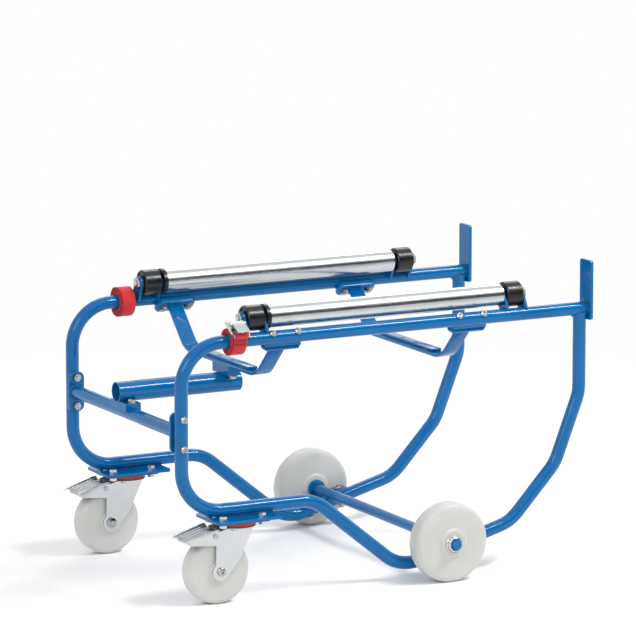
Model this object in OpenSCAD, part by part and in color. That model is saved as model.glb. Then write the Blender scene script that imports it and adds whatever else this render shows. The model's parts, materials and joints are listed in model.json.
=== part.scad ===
// Drum tipper: two bent tube side frames on two braked castors and two fixed wheels.
// A drum lies on the rollers. The whole frame is tipped on its curved lower tubes
// with a lever bar that goes into the socket at the front.
// X runs from the castors (front) to the drum stops (rear), Y across, Z up, in mm.
// The left side is the one at negative Y. The frame is built from the axis of the
// front uprights and then moved so that its middle stands over the origin.

/* [Frame tubes] */
// Distance between the two side frames, centre to centre
track = 468; // [440:1:520]
// Outside diameter of the frame tube
tube_d = 25; // [24:0.5:26]
// Wall of the frame tube
tube_wall = 2; // [1.5:0.1:3]
// Centreline radius of every bend in the side frame
bend_r = 80; // [70:1:84]
// Height of the top rail's centreline
rail_z = 485; // [480:1:500]
// Length of the top rail behind the front upright
rail_len = 850; // [845:1:880]
// Where the castor run turns down, behind the front upright
run_len = 272; // [268:1:280]
// Where the down slope meets the rocker
rocker_x = 455; // [445:1:462]
// Rise of the rocker towards the rear
rocker_angle = 15.4; // [14:0.1:17]
// Rear end of the rocker, at the first upward bend
knee_x = 691; // [680:1:700]
// Second upward bend, behind the upright
heel_x = 787; // [780:1:792]
// Second upward bend, above the floor
heel_z = 192.4; // [185:0.1:200]
// Rear vertical tube, behind the upright
back_x = 838; // [834:0.5:840]
// Start of the rear vertical tube, above the floor
back_z = 324; // [315:1:335]
// Play between pieces that are bolted or welded against each other
seat_gap = 0.1; // [0.05:0.05:0.2]

/* [Rear stops] */
// Width of a stop bar
stop_w = 40; // [36:1:50]
// Thickness of a stop bar
stop_t = 6; // [4:0.5:8]
// Height of a stop bar
stop_h = 113; // [100:1:140]
// How far the stop bar reaches below the rail's centreline
stop_drop = 21; // [18:0.5:26]
// Corner radius of the stop bar
stop_r = 5; // [2:0.5:9]

/* [Front cross tube] */
// Height of the cross tube's centreline
cross_z = 322.5; // [316:0.5:330]
// Width of an end plate along X
cross_plate_w = 32; // [28:1:38]
// Height of an end plate
cross_plate_h = 76; // [72:1:84]
// Thickness of an end plate
cross_plate_t = 5; // [4:0.5:7]
// Corner radius of an end plate
cross_plate_r = 12; // [6:0.5:13.5]
// Distance between the two bolts of an end plate
cross_bolt_pitch = 55; // [52:0.5:58]

/* [Lever socket] */
// Outside diameter of the socket tube
socket_d = 38; // [34:0.5:40]
// Wall of the socket tube
socket_wall = 2; // [1.5:0.1:3]
// How far the socket's mouth stands in front of the uprights
socket_front = 20; // [16:1:40]
// Length of the socket tube
socket_len = 254; // [250:1:275]
// Height of the front saddle above the cross tube
saddle_rise = 7; // [5:0.5:10]
// Width of a socket saddle across the object
saddle_len = 66; // [64:1:76]
// Width of the front saddle along X
saddle_w = 31; // [29:0.5:36]
// How far the front saddle reaches down beside the cross tube
saddle_grip = 7; // [4:0.5:10]
// Height of the rear bracket between the socket and the bearer
bracket_h = 15.5; // [13:0.5:18]
// Width of the rear bracket along X
bracket_w = 26; // [22:1:30]
// How far the rear bracket reaches down beside the socket
bracket_grip = 3; // [1:0.5:8]
// Distance between the two bolts of a socket saddle
socket_bolt_pitch = 52; // [50:0.5:54]

/* [Bearers] */
// Front bearer, behind the upright
bearer_front_x = 209.5; // [209:0.5:214]
// Rear bearer, behind the upright
bearer_rear_x = 600; // [560:1:610]
// Width of the bearer bar
bearer_w = 35; // [32:1:40]
// Thickness of the bearer bar
bearer_t = 5.5; // [4.5:0.5:7]
// Centreline radius of the bearer's bends
bearer_bend_r = 20; // [14:1:26]
// Slope of the bearer's arms
arm_angle = 45; // [43:1:48]
// Length of the stiffening strip on the bearer
strip_len = 184; // [160:1:200]
// Width of the stiffening strip
strip_w = 20; // [18:1:24]
// Thickness of the stiffening strip
strip_t = 5.5; // [4:0.5:7]
// Length of a bearer's end pad along the rail
pad_len = 80; // [78:1:90]
// Width of a bearer's end pad
pad_w = 30; // [26:1:34]
// Thickness of a bearer's end pad
pad_t = 5; // [4:0.5:7]
// Distance from the rail's surface to the end pad
pad_rise = 4.4; // [3.5:0.1:6]
// Distance between the two bolts of an end pad
pad_bolt_pitch = 52; // [50:0.5:56]

/* [Fasteners] */
// Thread diameter of the frame bolts
bolt_d = 8; // [7:0.5:9]
// Play of a bolt in its hole, on the radius
bolt_play = 0.2; // [0.1:0.05:0.4]
// Diameter of a round bolt head
head_d = 14; // [12:0.5:15]
// Height of a round bolt head
head_h = 4.4; // [3.5:0.1:5]
// Width of a nut across its flats
nut_w = 13; // [12:0.5:14]
// Height of a nut
nut_h = 6.5; // [5:0.1:7]
// Length of thread that shows below a nut
thread_out = 2; // [1:0.5:4]

/* [Rollers] */
// Front face of the foremost roller lug, behind the upright
lug_front_x = 131; // [129:0.5:136]
// Roller axis, inwards from the rail's centreline
roller_in = 19; // [16:0.5:22]
// Roller axis, above the rail's centreline
roller_up = 36; // [35:0.5:40]
// Thickness of a roller lug
lug_t = 5; // [4:0.5:6]
// Width of a roller lug
lug_w = 28; // [25:0.5:30]
// Diameter of an end roller
end_roller_d = 48; // [46:0.5:50]
// Length of an end roller
end_roller_len = 34; // [30:1:38]
// Diameter of the long support roller
long_roller_d = 42; // [40:0.5:44]
// Wall of the long support roller
long_roller_wall = 2; // [1.5:0.1:3]
// Length of the long support roller over its end caps
long_roller_len = 491; // [470:1:500]
// Length of an end cap's rim outside the tube
cap_rim = 5; // [4:0.5:8]
// Thickness of the spacer ring in front of the long roller
ring_t = 7; // [5:0.5:9]
// Diameter of the roller axles
pin_d = 12; // [10:0.5:13]
// Thickness of the nuts on the roller axles
pin_nut_h = 6; // [5:0.5:8]
// Width across the flats of those nuts
pin_nut_w = 19; // [17:0.5:20]
// Side play of each roller
roller_play = 0.5; // [0.4:0.1:0.8]
// Running clearance of wheels, rollers and pins, on the radius
run_fit = 0.05; // [0.03:0.01:0.08]

/* [Castors] */
// Swivel axis, behind the upright
castor_x = 110; // [106:1:114]
// Distance from the swivel axis to the wheel axle
castor_trail = 42; // [38:1:46]
// Height of the castor from the floor to the top of its plate
castor_h = 155; // [153:1:160]
// Diameter of the castor wheel
castor_wheel_d = 125; // [120:1:127]
// Width of the castor wheel
castor_wheel_w = 38; // [34:1:40]
// Diameter of the castor wheel's axle bolt
castor_pin_d = 12; // [10:0.5:12]
// Thickness of the castor's own plate
castor_plate_t = 3; // [2.5:0.5:4]
// Length of the castor's own plate
castor_plate_l = 105; // [102:1:110]
// Width of the castor's own plate
castor_plate_w = 85; // [83:1:92]
// Bolt pattern of the castor plate along X
castor_bolt_l = 80; // [79:0.5:82]
// Bolt pattern of the castor plate across
castor_bolt_w = 60; // [59:0.5:62]
// Thickness of the welded mounting plate
mount_t = 5; // [4:0.5:7]
// Width of the welded mounting plate
mount_w = 96; // [92:1:104]
// Mounting plate in front of the swivel axis
mount_front = 60; // [58:1:66]
// Mounting plate behind the swivel axis
mount_rear = 75; // [74:1:84]
// Diameter of the seal ring in the swivel head
seal_d = 74; // [70:1:76]
// Height of the seal ring
seal_h = 8.5; // [8:0.5:10]
// Thickness of the fork's sheet
fork_t = 3; // [2.5:0.5:3.5]
// Height of the fork's crown
crown_h = 6; // [5:0.5:7]
// Diameter of the king pin
king_d = 16; // [14:0.5:18]
// Gap between turning faces in the castor
castor_gap = 0.5; // [0.3:0.1:0.6]

/* [Brake pedals] */
// Reach of the pedal in front of the swivel axis
pedal_reach = 147; // [140:1:150]
// Width of the pedal's tread
pedal_w = 63; // [61:1:68]
// Thickness of the pedal's sheet
pedal_t = 2.5; // [2:0.5:3]
// Pedal hinge, in front of the swivel axis
pedal_pivot_x = 53; // [51:0.5:55]
// Pedal hinge, below the castor's top
pedal_pivot_drop = 25; // [24:0.5:27]
// Diameter of the pedal's hinge pin
pedal_pin_d = 6; // [5:0.5:6]
// Number of raised ribs on the tread
tread_ribs = 4; // [2:1:5]

/* [Rear axle] */
// Axle, behind the upright
axle_x = 532; // [520:1:540]
// Diameter of the axle
axle_d = 20; // [18:0.5:22]
// Length of the axle
axle_len = 630; // [626:1:650]
// Diameter of a rear wheel
wheel_d = 150; // [146:1:156]
// Width of a rear wheel's tread
wheel_w = 40; // [36:1:44]
// Width of a rear wheel over its hub
hub_w = 46; // [45:1:48]
// Diameter of a rear wheel's hub
hub_d = 58; // [52:1:64]
// Diameter of the collar inside each wheel
collar_d = 34; // [30:1:38]
// Width of the collar
collar_w = 5; // [4:0.5:9]
// Diameter of the push-on washer
cap_d = 30; // [26:1:34]
// Thickness of the push-on washer
cap_t = 3; // [2:0.5:4]
// Length of the plate that carries the axle
axle_plate_l = 98; // [94:1:104]
// Width of the plate that carries the axle
axle_plate_w = 30; // [28:1:34]
// Thickness of the plate that carries the axle
axle_plate_t = 6.2; // [5:0.1:8]
// Distance between the two bolts of an axle plate
axle_bolt_pitch = 72; // [70:1:76]

/* [Strap] */
// Width of the webbing
strap_w = 27; // [25:1:30]
// Thickness of the webbing
strap_t = 1.6; // [1.2:0.1:1.7]
// Middle of the strap, behind the upright
strap_x = 107; // [105:1:108]
// Step from one turn of the rolled strap to the next
strap_pitch = 2.2; // [2.15:0.05:2.4]
// Length of the strap half with the buckle
strap_buckle_len = 650; // [500:10:700]
// Length of the strap half with the free end
strap_free_len = 940; // [800:10:960]
// Play between the rolled strap and the rail
strap_play = 0.35; // [0.3:0.05:0.6]
// Length of the buckle
buckle_len = 44; // [40:1:48]
// Sheet thickness of the buckle
buckle_t = 1.8; // [1.5:0.1:2]
// Diameter of the buckle's lever pin
buckle_pin_d = 4; // [3:0.5:4.5]
// Place of the buckle round the rail, up from the outward side
buckle_angle = 58; // [40:1:80]

/* [Hidden] */
$fn = 64;

LEFT = -1;
RIGHT = 1;
frame_blue = "#12659f";
zinc = "#c9ccce";
nylon = "#e9e7de";
black_rubber = "#26282a";
seal_red = "#b8452b";
strap_red = "#e03a3c";

// Bends are fuller than straights by the swell, so that the two join cleanly
joint_overlap = 0.3;
joint_swell = 0.05;

tube_r = tube_d / 2;
bore_r = tube_r - tube_wall;
side_y = track / 2;
leg_z = castor_h + mount_t + tube_r;
axle_z = wheel_d / 2;

// Middle of the object's length, from the pedal tips to the back of the stops
mid_x = (castor_x - pedal_reach + rail_len + stop_t) / 2;

// The rocker line lies under the axle by the plate and both radii
axle_to_tube = axle_d / 2 + axle_plate_t + tube_r;
foot_x = axle_x + axle_to_tube * sin(rocker_angle);
foot_z = axle_z - axle_to_tube * cos(rocker_angle);
function rocker_z(x) = foot_z + (x - foot_x) * tan(rocker_angle);

// Corners of the side frame's centreline in X and Z, from the rail's rear end round
function side_path(top) = [
    [rail_len, rail_z], [0, rail_z], [0, leg_z], [run_len, leg_z],
    [rocker_x, rocker_z(rocker_x)], [knee_x, rocker_z(knee_x)],
    [heel_x, heel_z], [back_x, back_z], [back_x, top]
];

function heading(a, b) = atan2(b[1] - a[1], b[0] - a[0]);
function half_turn(a) = a > 180 ? a - 360 : (a < -180 ? a + 360 : a);
function turn_at(p, i) = half_turn(heading(p[i], p[i + 1]) - heading(p[i - 1], p[i]));
function is_end(p, i) = i == 0 || i == len(p) - 1;
function setback(p, i) = is_end(p, i) ? 0 : bend_r * tan(abs(turn_at(p, i)) / 2);

socket_z = cross_z + tube_r + saddle_rise + socket_d / 2;
saddle_weld = 1.5;
bearer_low = socket_z + socket_d / 2 + bracket_h;
bearer_z = bearer_low + bearer_t / 2;
arm_height = rail_z - bearer_z;
corner_y = side_y - arm_height / tan(arm_angle);
pad_in = tube_r + pad_rise;
pad_out = pad_in + pad_t;
pad_notch = 10;
pad_chamfer = 7;

// Stations of one roller row along X
roller_end_a = lug_front_x + lug_t + roller_play;
lug_in_front_x = roller_end_a + end_roller_len + roller_play;
ring_x = lug_in_front_x + lug_t + roller_play;
long_roller_x = ring_x + ring_t + roller_play;
lug_in_rear_x = long_roller_x + long_roller_len + roller_play;
roller_end_b = lug_in_rear_x + lug_t + roller_play;
lug_rear_x = roller_end_b + end_roller_len + roller_play;
roller_z = rail_z + roller_up;
lug_tilt = atan(roller_in / roller_up);
lug_height = norm([roller_in, roller_up]);

// Castor levels above the floor
castor_wheel_r = castor_wheel_d / 2;
plate_low = castor_h - castor_plate_t;
crown_top = plate_low - seal_h - castor_gap;
crown_low = crown_top - crown_h;
cheek_in = castor_wheel_w / 2 + 3.5;
cheek_out = cheek_in + fork_t;
leg_r = 17;
king_head_d = 26;
king_head_h = 4.5;
pedal_pivot_z = castor_h - pedal_pivot_drop;
pedal_arm_out = cheek_in - 0.3;
pedal_boss_r = 6.5;

// Rear wheel places along Y
wheel_side_gap = 0.5;
collar_y = side_y + max(tube_r, axle_plate_w / 2) + wheel_side_gap;
hub_in_y = collar_y + collar_w + wheel_side_gap;
wheel_y = hub_in_y + hub_w / 2;
cap_y = hub_in_y + hub_w + wheel_side_gap;

// Rolled strap: the webbing's middle line is a spiral round the rail
strap_r0 = tube_r + strap_play + strap_t / 2;
function roll_turns(length) = (sqrt(strap_r0 * strap_r0 + length * strap_pitch / PI) - strap_r0) / strap_pitch;
function roll_r(a) = strap_r0 + strap_pitch * a / 360;
roll_steps = 24;
buckle_turns = roll_turns(strap_buckle_len);
free_turns = roll_turns(strap_free_len);
buckle_roll_r = roll_r(360 * buckle_turns) + strap_t / 2;

// Points of a rolled strap along one of its edges. Its outer end lies on the x axis.
function roll_edge(turns, offset) = [
    for (i = [0 : round(turns * roll_steps)])
        let (a = i * turns * 360 / round(turns * roll_steps), b = a - 360 * turns)
            (roll_r(a) + offset) * [cos(b), sin(b)]
];
function flipped(p) = [for (i = [len(p) - 1 : -1 : 0]) p[i]];

// Least gap between the outer edge of a turn and the inner edge of a later one
function least_gap(outer, inner) = min([
    for (i = [0 : len(outer) - 1 - roll_steps / 2], j = [i + roll_steps / 2 : len(inner) - 1])
        norm(outer[i] - inner[j])
]);
for (turns = [buckle_turns, free_turns])
    echo(least_gap_in_strap_roll =
        least_gap(roll_edge(turns, strap_t / 2), roll_edge(turns, -strap_t / 2)));

// The buckle rests on the roll. Its rear bar is behind the middle and above the roll.
bar_back = 20;
bar_up = 5;
bar_d = 5;
bar_play = 0.3;
bar_angle = atan(bar_back / (buckle_roll_r + bar_up));
bar_reach = norm([bar_back, buckle_roll_r + bar_up]);
eye_r = bar_d / 2 + bar_play + strap_t / 2;
leave_angle = acos((buckle_roll_r - strap_t / 2 + eye_r) / bar_reach);
leave_len = bar_reach * sin(leave_angle);
buckle_floor_t = 1.5;
buckle_seat = 0.3;
buckle_in = strap_w / 2 + 0.8;
buckle_pin_x = 6;
buckle_pin_z = 9.5;
cam_r = 5.5;

module placed() {
    translate([-mid_x, 0, 0]) children();
}

// Frame of one side: y = 0 is the tube's middle plane and +y points inwards
module on_side(side) {
    placed()
        if (side == LEFT)
            translate([0, -side_y, 0]) children();
        else
            mirror([0, 1, 0]) translate([0, -side_y, 0]) children();
}

// Frame of one castor at its swivel axis, with the wheel towards -x
module on_castor(side) {
    on_side(side) translate([castor_x, 0, 0]) children();
}

// A bolt through the rail: +z points out and up to the head, -z to the bearer's pad
module rail_bolt_frame(x) {
    translate([x, 0, rail_z]) rotate([arm_angle, 0, 0]) children();
}

// Square to the rocker tube, with +z up from the tube's centreline
module rocker_frame(along) {
    translate([foot_x, 0, foot_z]) rotate([0, -rocker_angle, 0])
        translate([along, 0, 0]) children();
}

module rounded_bar(size, r) {
    dx = size[0] / 2 - r;
    dy = size[1] / 2 - r;
    square([size[0], size[1] - 2 * r], center = true);
    square([size[0] - 2 * r, size[1]], center = true);
    for (x = [-dx, dx], y = [-dy, dy])
        translate([x, y]) circle(r);
}

// A straight reaches a little way into the bends at its ends
module tube_straight(p, i, r) {
    h = heading(p[i], p[i + 1]);
    before = i == 0 ? 0 : joint_overlap;
    after = i == len(p) - 2 ? 0 : joint_overlap;
    s = setback(p, i) - before;
    length = norm(p[i + 1] - p[i]) - s - setback(p, i + 1) + after;
    translate([p[i][0] + s * cos(h), 0, p[i][1] + s * sin(h)])
        rotate([0, 90 - h, 0]) cylinder(r = r, h = length);
}

module tube_bend(p, i, r) {
    a = heading(p[i - 1], p[i]);
    t = turn_at(p, i);
    s = setback(p, i);
    side = t > 0 ? 1 : -1;
    start = t > 0 ? a - 90 : a + 90 + t;
    cx = p[i][0] - s * cos(a) - side * bend_r * sin(a);
    cz = p[i][1] - s * sin(a) + side * bend_r * cos(a);
    translate([cx, 0, cz]) rotate([90, 0, 0]) rotate([0, 0, start])
        rotate_extrude(angle = abs(t)) translate([bend_r, 0]) circle(r + joint_swell);
}

module tube_run(p, r) {
    for (i = [0 : len(p) - 2])
        tube_straight(p, i, r);
    for (i = [1 : len(p) - 2])
        tube_bend(p, i, r);
}

// Round head with a hex socket above z = 0, shank, and a nut under the grip
module frame_bolt(grip) {
    socket_w = 5.8;
    reach = grip + nut_h + thread_out;
    difference() {
        union() {
            translate([0, 0, -reach]) cylinder(d = bolt_d, h = reach);
            cylinder(d = head_d, h = head_h * 0.45);
            translate([0, 0, head_h * 0.45])
                cylinder(d1 = head_d, d2 = head_d * 0.68, h = head_h * 0.55);
        }
        translate([0, 0, head_h * 0.35]) cylinder(d = socket_w, h = head_h, $fn = 6);
    }
    translate([0, 0, -grip - nut_h]) hex_nut(nut_w, nut_h, bolt_d);
}

module hex_nut(width, height, thread) {
    difference() {
        cylinder(d = width / cos(30), h = height, $fn = 6);
        translate([0, 0, -1]) cylinder(d = thread + 2 * run_fit, h = height + 2);
    }
}

module bolt_hole(low, high) {
    translate([0, 0, low]) cylinder(d = bolt_d + 2 * bolt_play, h = high - low);
}

// Side frame: one bent tube whose end is welded under its own rail
module side_frame(side) {
    flare_h = 8;
    flare = 2.5;
    color(frame_blue) on_side(side) difference() {
        union() {
            tube_run(side_path(rail_z), tube_r);
            translate([back_x, 0, rail_z - tube_r - flare_h])
                cylinder(r1 = tube_r, r2 = tube_r + flare, h = flare_h + tube_r / 2);
        }
        tube_run(side_path(rail_z - tube_r), bore_r);
        translate([rail_len, -tube_d, rail_z - 2 * tube_d]) cube([tube_d, 2 * tube_d, 3 * tube_d]);
        for (z = [-1, 1] * cross_bolt_pitch / 2)
            translate([0, 0, cross_z + z]) rotate([90, 0, 0]) bolt_hole(-tube_d, tube_d);
        for (x = [bearer_front_x, bearer_rear_x], s = [-1, 1] * pad_bolt_pitch / 2)
            rail_bolt_frame(x + s) bolt_hole(-tube_d, tube_d);
        for (s = [-1, 1] * axle_bolt_pitch / 2)
            rocker_frame(s) bolt_hole(-tube_d, tube_d);
    }
}

// Upright flat bar welded to the rail's end, which the drum's bottom leans on
module drum_stop(side) {
    color(frame_blue) on_side(side)
        translate([rail_len + seat_gap, 0, rail_z - stop_drop + stop_h / 2])
            rotate([90, 0, 90]) linear_extrude(stop_t - seat_gap)
                rounded_bar([stop_w, stop_h], stop_r);
}

// Front cross tube with a bolted plate welded on each end
module cross_tube() {
    plate_y = side_y - tube_r - seat_gap;
    color(frame_blue) placed() translate([0, 0, cross_z]) difference() {
        union() {
            rotate([90, 0, 0])
                cylinder(r = tube_r, h = 2 * plate_y - cross_plate_t, center = true);
            for (side = [LEFT, RIGHT])
                translate([0, side * (plate_y - cross_plate_t / 2), 0]) rotate([90, 0, 0])
                    linear_extrude(cross_plate_t, center = true)
                        rounded_bar([cross_plate_w, cross_plate_h], cross_plate_r);
        }
        rotate([90, 0, 0])
            cylinder(r = bore_r, h = 2 * (plate_y - cross_plate_t), center = true);
        for (side = [LEFT, RIGHT], z = [-1, 1] * cross_bolt_pitch / 2)
            translate([0, side * plate_y, z]) rotate([90, 0, 0])
                bolt_hole(-2 * cross_plate_t, 2 * cross_plate_t);
        for (y = [-1, 1] * socket_bolt_pitch / 2)
            translate([0, y, 0]) bolt_hole(-tube_d, tube_d);
    }
}

module cross_tube_bolts() {
    grip = tube_d + cross_plate_t + seat_gap;
    color(zinc) for (side = [LEFT, RIGHT], z = [-1, 1] * cross_bolt_pitch / 2)
        on_side(side) translate([0, -tube_r, cross_z + z]) rotate([90, 0, 0]) frame_bolt(grip);
}

module socket_bore(diameter, over) {
    translate([-socket_front - over, 0, socket_z]) rotate([0, 90, 0])
        cylinder(d = diameter, h = socket_len + 2 * over);
}

// Socket for the lever bar: a tube open at both ends
module lever_socket() {
    color(frame_blue) placed() difference() {
        socket_bore(socket_d, 0);
        socket_bore(socket_d - 2 * socket_wall, 1);
    }
}

// Blocks welded to the socket: a saddle on the cross tube and a bracket at the bearer
module socket_brackets() {
    saddle_top = cross_z + tube_r + saddle_rise + saddle_weld;
    saddle_low = cross_z + tube_r - saddle_grip;
    bracket_low = socket_z + socket_d / 2 - bracket_grip;
    color(frame_blue) placed() difference() {
        union() {
            translate([-saddle_w / 2, -saddle_len / 2, saddle_low])
                cube([saddle_w, saddle_len, saddle_top - saddle_low]);
            translate([bearer_front_x - bracket_w / 2, -saddle_len / 2, bracket_low])
                cube([bracket_w, saddle_len, bearer_low - seat_gap - bracket_low]);
        }
        socket_bore(socket_d + 2 * seat_gap, tube_d);
        translate([0, 0, cross_z]) rotate([90, 0, 0])
            cylinder(r = tube_r + seat_gap, h = saddle_len + 2, center = true);
        for (y = [-1, 1] * socket_bolt_pitch / 2) {
            translate([0, y, cross_z]) bolt_hole(-tube_d, 2 * tube_d);
            translate([bearer_front_x, y, bearer_low]) bolt_hole(-2 * tube_d, tube_d);
        }
    }
}

module socket_bolts() {
    saddle_top = cross_z + tube_r + saddle_rise + saddle_weld;
    bracket_low = socket_z + socket_d / 2 - bracket_grip;
    strip_top = bearer_low + bearer_t + strip_t;
    color(zinc) placed() for (y = [-1, 1] * socket_bolt_pitch / 2) {
        translate([0, y, saddle_top]) frame_bolt(saddle_top - cross_z + tube_r);
        translate([bearer_front_x, y, strip_top]) frame_bolt(strip_top - bracket_low);
    }
}

// One end of a bearer in the rail bolt frame: pad, and saddle that hugs the rail
module bearer_end() {
    difference() {
        union() {
            translate([0, 0, -pad_out]) linear_extrude(pad_t)
                polygon([
                    [-pad_len / 2, -pad_w / 2 + pad_chamfer], [-pad_len / 2 + pad_chamfer, -pad_w / 2],
                    [pad_len / 2 - pad_chamfer, -pad_w / 2], [pad_len / 2, -pad_w / 2 + pad_chamfer],
                    [pad_len / 2, pad_w / 2 - pad_chamfer], [pad_len / 2 - pad_chamfer, pad_w / 2],
                    [-pad_len / 2 + pad_chamfer, pad_w / 2], [-pad_len / 2, pad_w / 2 - pad_chamfer]
                ]);
            translate([0, 0, -pad_in + tube_r / 4])
                cube([pad_len - 4, 0.7 * tube_d, tube_r / 2], center = true);
        }
        rotate([0, 90, 0]) cylinder(r = tube_r + seat_gap, h = pad_len + 2, center = true);
        for (x = [-1, 1] * pad_bolt_pitch / 2) {
            translate([x, 0, 0]) bolt_hole(-2 * tube_d, tube_d);
            translate([x, 0, -pad_in + tube_r / 2])
                cube([pad_notch, tube_d, tube_r], center = true);
        }
    }
}

module bearer_arc(side) {
    setback_y = bearer_bend_r * tan(arm_angle / 2);
    translate([0, side * (corner_y - setback_y), bearer_z + bearer_bend_r])
        rotate([90, 0, 90]) rotate([0, 0, side > 0 ? -90 : -90 - arm_angle])
            rotate_extrude(angle = arm_angle) translate([bearer_bend_r, 0])
                square([bearer_t, bearer_w] + 2 * [joint_swell, joint_swell], center = true);
}

// Bearer: flat bar bent up at both ends, a strip along its top and a pad at each end
module bearer(x) {
    setback_y = bearer_bend_r * tan(arm_angle / 2);
    arm_len = arm_height / sin(arm_angle) - setback_y - pad_out;
    flat = 2 * (corner_y - setback_y + joint_overlap);
    color(frame_blue) placed() translate([x, 0, 0]) difference() {
        union() {
            translate([0, 0, bearer_z]) cube([bearer_w, flat, bearer_t], center = true);
            translate([bearer_w / 2 - strip_w - 5, -strip_len / 2, bearer_low + bearer_t])
                cube([strip_w, strip_len, strip_t]);
            for (side = [LEFT, RIGHT]) {
                bearer_arc(side);
                mirror([0, side == LEFT ? 0 : 1, 0]) translate([0, -side_y, rail_z])
                    rotate([arm_angle, 0, 0]) {
                        translate([0, 0, -pad_out - arm_len / 2])
                            cube([bearer_w, bearer_t, arm_len + 2 * joint_overlap], center = true);
                        bearer_end();
                    }
            }
        }
        for (y = [-1, 1] * socket_bolt_pitch / 2)
            translate([0, y, bearer_z]) bolt_hole(-tube_d, tube_d);
    }
}

module bearer_bolts() {
    color(zinc)
        for (side = [LEFT, RIGHT], x = [bearer_front_x, bearer_rear_x], s = [-1, 1] * pad_bolt_pitch / 2)
            on_side(side) rail_bolt_frame(x + s) translate([0, 0, tube_r])
                frame_bolt(tube_r + pad_out);
}

// Upright plate with a round head, welded on the rail, that holds a roller axle
module lug(x) {
    foot = 6;
    translate([x, 0, rail_z]) rotate([90, 0, 90]) linear_extrude(lug_t) difference() {
        rotate([0, 0, -lug_tilt]) {
            translate([-lug_w / 2, foot]) square([lug_w, lug_height - foot]);
            translate([0, lug_height]) circle(d = lug_w);
        }
        circle(r = tube_r + seat_gap);
        translate([roller_in, roller_up]) circle(d = pin_d + 2 * run_fit);
    }
}

module roller_lugs(side) {
    color(frame_blue) on_side(side)
        for (x = [lug_front_x, lug_in_front_x, lug_in_rear_x, lug_rear_x])
            lug(x);
}

module on_roller_axis(side) {
    on_side(side) translate([0, roller_in, roller_z]) rotate([0, 90, 0]) children();
}

module roller_axle(side) {
    stub = pin_nut_h + thread_out;
    length = lug_rear_x + lug_t - lug_front_x + 2 * stub;
    color(zinc) on_roller_axis(side) translate([0, 0, lug_front_x - stub])
        cylinder(d = pin_d, h = length);
}

module roller_axle_nuts() {
    color(zinc) for (side = [LEFT, RIGHT])
        on_roller_axis(side)
            for (x = [lug_front_x - pin_nut_h, lug_rear_x + lug_t])
                translate([0, 0, x]) hex_nut(pin_nut_w, pin_nut_h, pin_d);
}

module turned_ring(outer, inner, length) {
    difference() {
        cylinder(d = outer, h = length);
        translate([0, 0, -1]) cylinder(d = inner, h = length + 2);
    }
}

module spacer_rings() {
    color(black_rubber) for (side = [LEFT, RIGHT])
        on_roller_axis(side) translate([0, 0, ring_x])
            turned_ring(end_roller_d, pin_d + 2 * run_fit, ring_t);
}

// Long galvanised roller tube between its two end caps
module support_roller(side) {
    color(zinc) on_roller_axis(side) translate([0, 0, long_roller_x + cap_rim])
        turned_ring(long_roller_d, long_roller_d - 2 * long_roller_wall, long_roller_len - 2 * cap_rim);
}

// End cap: rim outside the tube, spigot inside it, bore on the axle
module roller_cap() {
    spigot = 12;
    edge = 1;
    difference() {
        union() {
            cylinder(d1 = long_roller_d - 2 * edge, d2 = long_roller_d, h = edge);
            translate([0, 0, edge]) cylinder(d = long_roller_d, h = cap_rim - edge);
            translate([0, 0, cap_rim])
                cylinder(d = long_roller_d - 2 * long_roller_wall - 2 * run_fit, h = spigot);
        }
        translate([0, 0, -1]) cylinder(d = pin_d + 2 * run_fit, h = cap_rim + spigot + 2);
    }
}

module roller_caps(side) {
    color(zinc) on_roller_axis(side) {
        translate([0, 0, long_roller_x]) roller_cap();
        translate([0, 0, long_roller_x + long_roller_len]) rotate([180, 0, 0]) roller_cap();
    }
}

// Black end roller with eased edges and a shallow recess in each face
module end_roller(side, x) {
    edge = 2;
    recess = 2;
    r = end_roller_d / 2;
    hub_r = pin_d / 2 + 4;
    color(black_rubber) on_roller_axis(side) translate([0, 0, x]) rotate_extrude()
        polygon([
            [pin_d / 2 + run_fit, 0], [hub_r, 0], [hub_r, recess], [r - 2 * edge, recess],
            [r - 2 * edge, 0], [r - edge, 0], [r, edge],
            [r, end_roller_len - edge], [r - edge, end_roller_len],
            [r - 2 * edge, end_roller_len], [r - 2 * edge, end_roller_len - recess],
            [hub_r, end_roller_len - recess], [hub_r, end_roller_len],
            [pin_d / 2 + run_fit, end_roller_len]
        ]);
}

// Mounting plate welded under the castor run, with slots for a longer castor plate
module castor_mount(side) {
    corner = 8;
    slot_len = 16;
    slot_x = castor_bolt_l / 2 + 20;
    length = mount_front + mount_rear;
    color(frame_blue) on_castor(side) translate([0, 0, castor_h]) difference() {
        translate([(mount_rear - mount_front) / 2, 0, 0]) linear_extrude(mount_t - seat_gap)
            rounded_bar([length, mount_w], corner);
        castor_bolt_places() bolt_hole(-mount_t, 2 * mount_t);
        for (y = [-1, 1] * castor_bolt_w / 2)
            translate([slot_x, y, -1]) linear_extrude(mount_t + 2) {
                square([bolt_d + 2 * bolt_play, slot_len - bolt_d], center = true);
                for (s = [-1, 1] * (slot_len - bolt_d) / 2)
                    translate([0, s]) circle(d = bolt_d + 2 * bolt_play);
            }
    }
}

module castor_bolt_places() {
    for (x = [-1, 1] * castor_bolt_l / 2, y = [-1, 1] * castor_bolt_w / 2)
        translate([x, y, 0]) children();
}

// The castor's own plate
module castor_plate(side) {
    corner = 7;
    color(frame_blue) on_castor(side) translate([0, 0, plate_low]) difference() {
        linear_extrude(castor_plate_t) rounded_bar([castor_plate_l, castor_plate_w], corner);
        castor_bolt_places() bolt_hole(-castor_plate_t, 2 * castor_plate_t);
        translate([0, 0, -1]) cylinder(d = king_d + 2 * run_fit, h = castor_plate_t + 2);
    }
}

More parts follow.
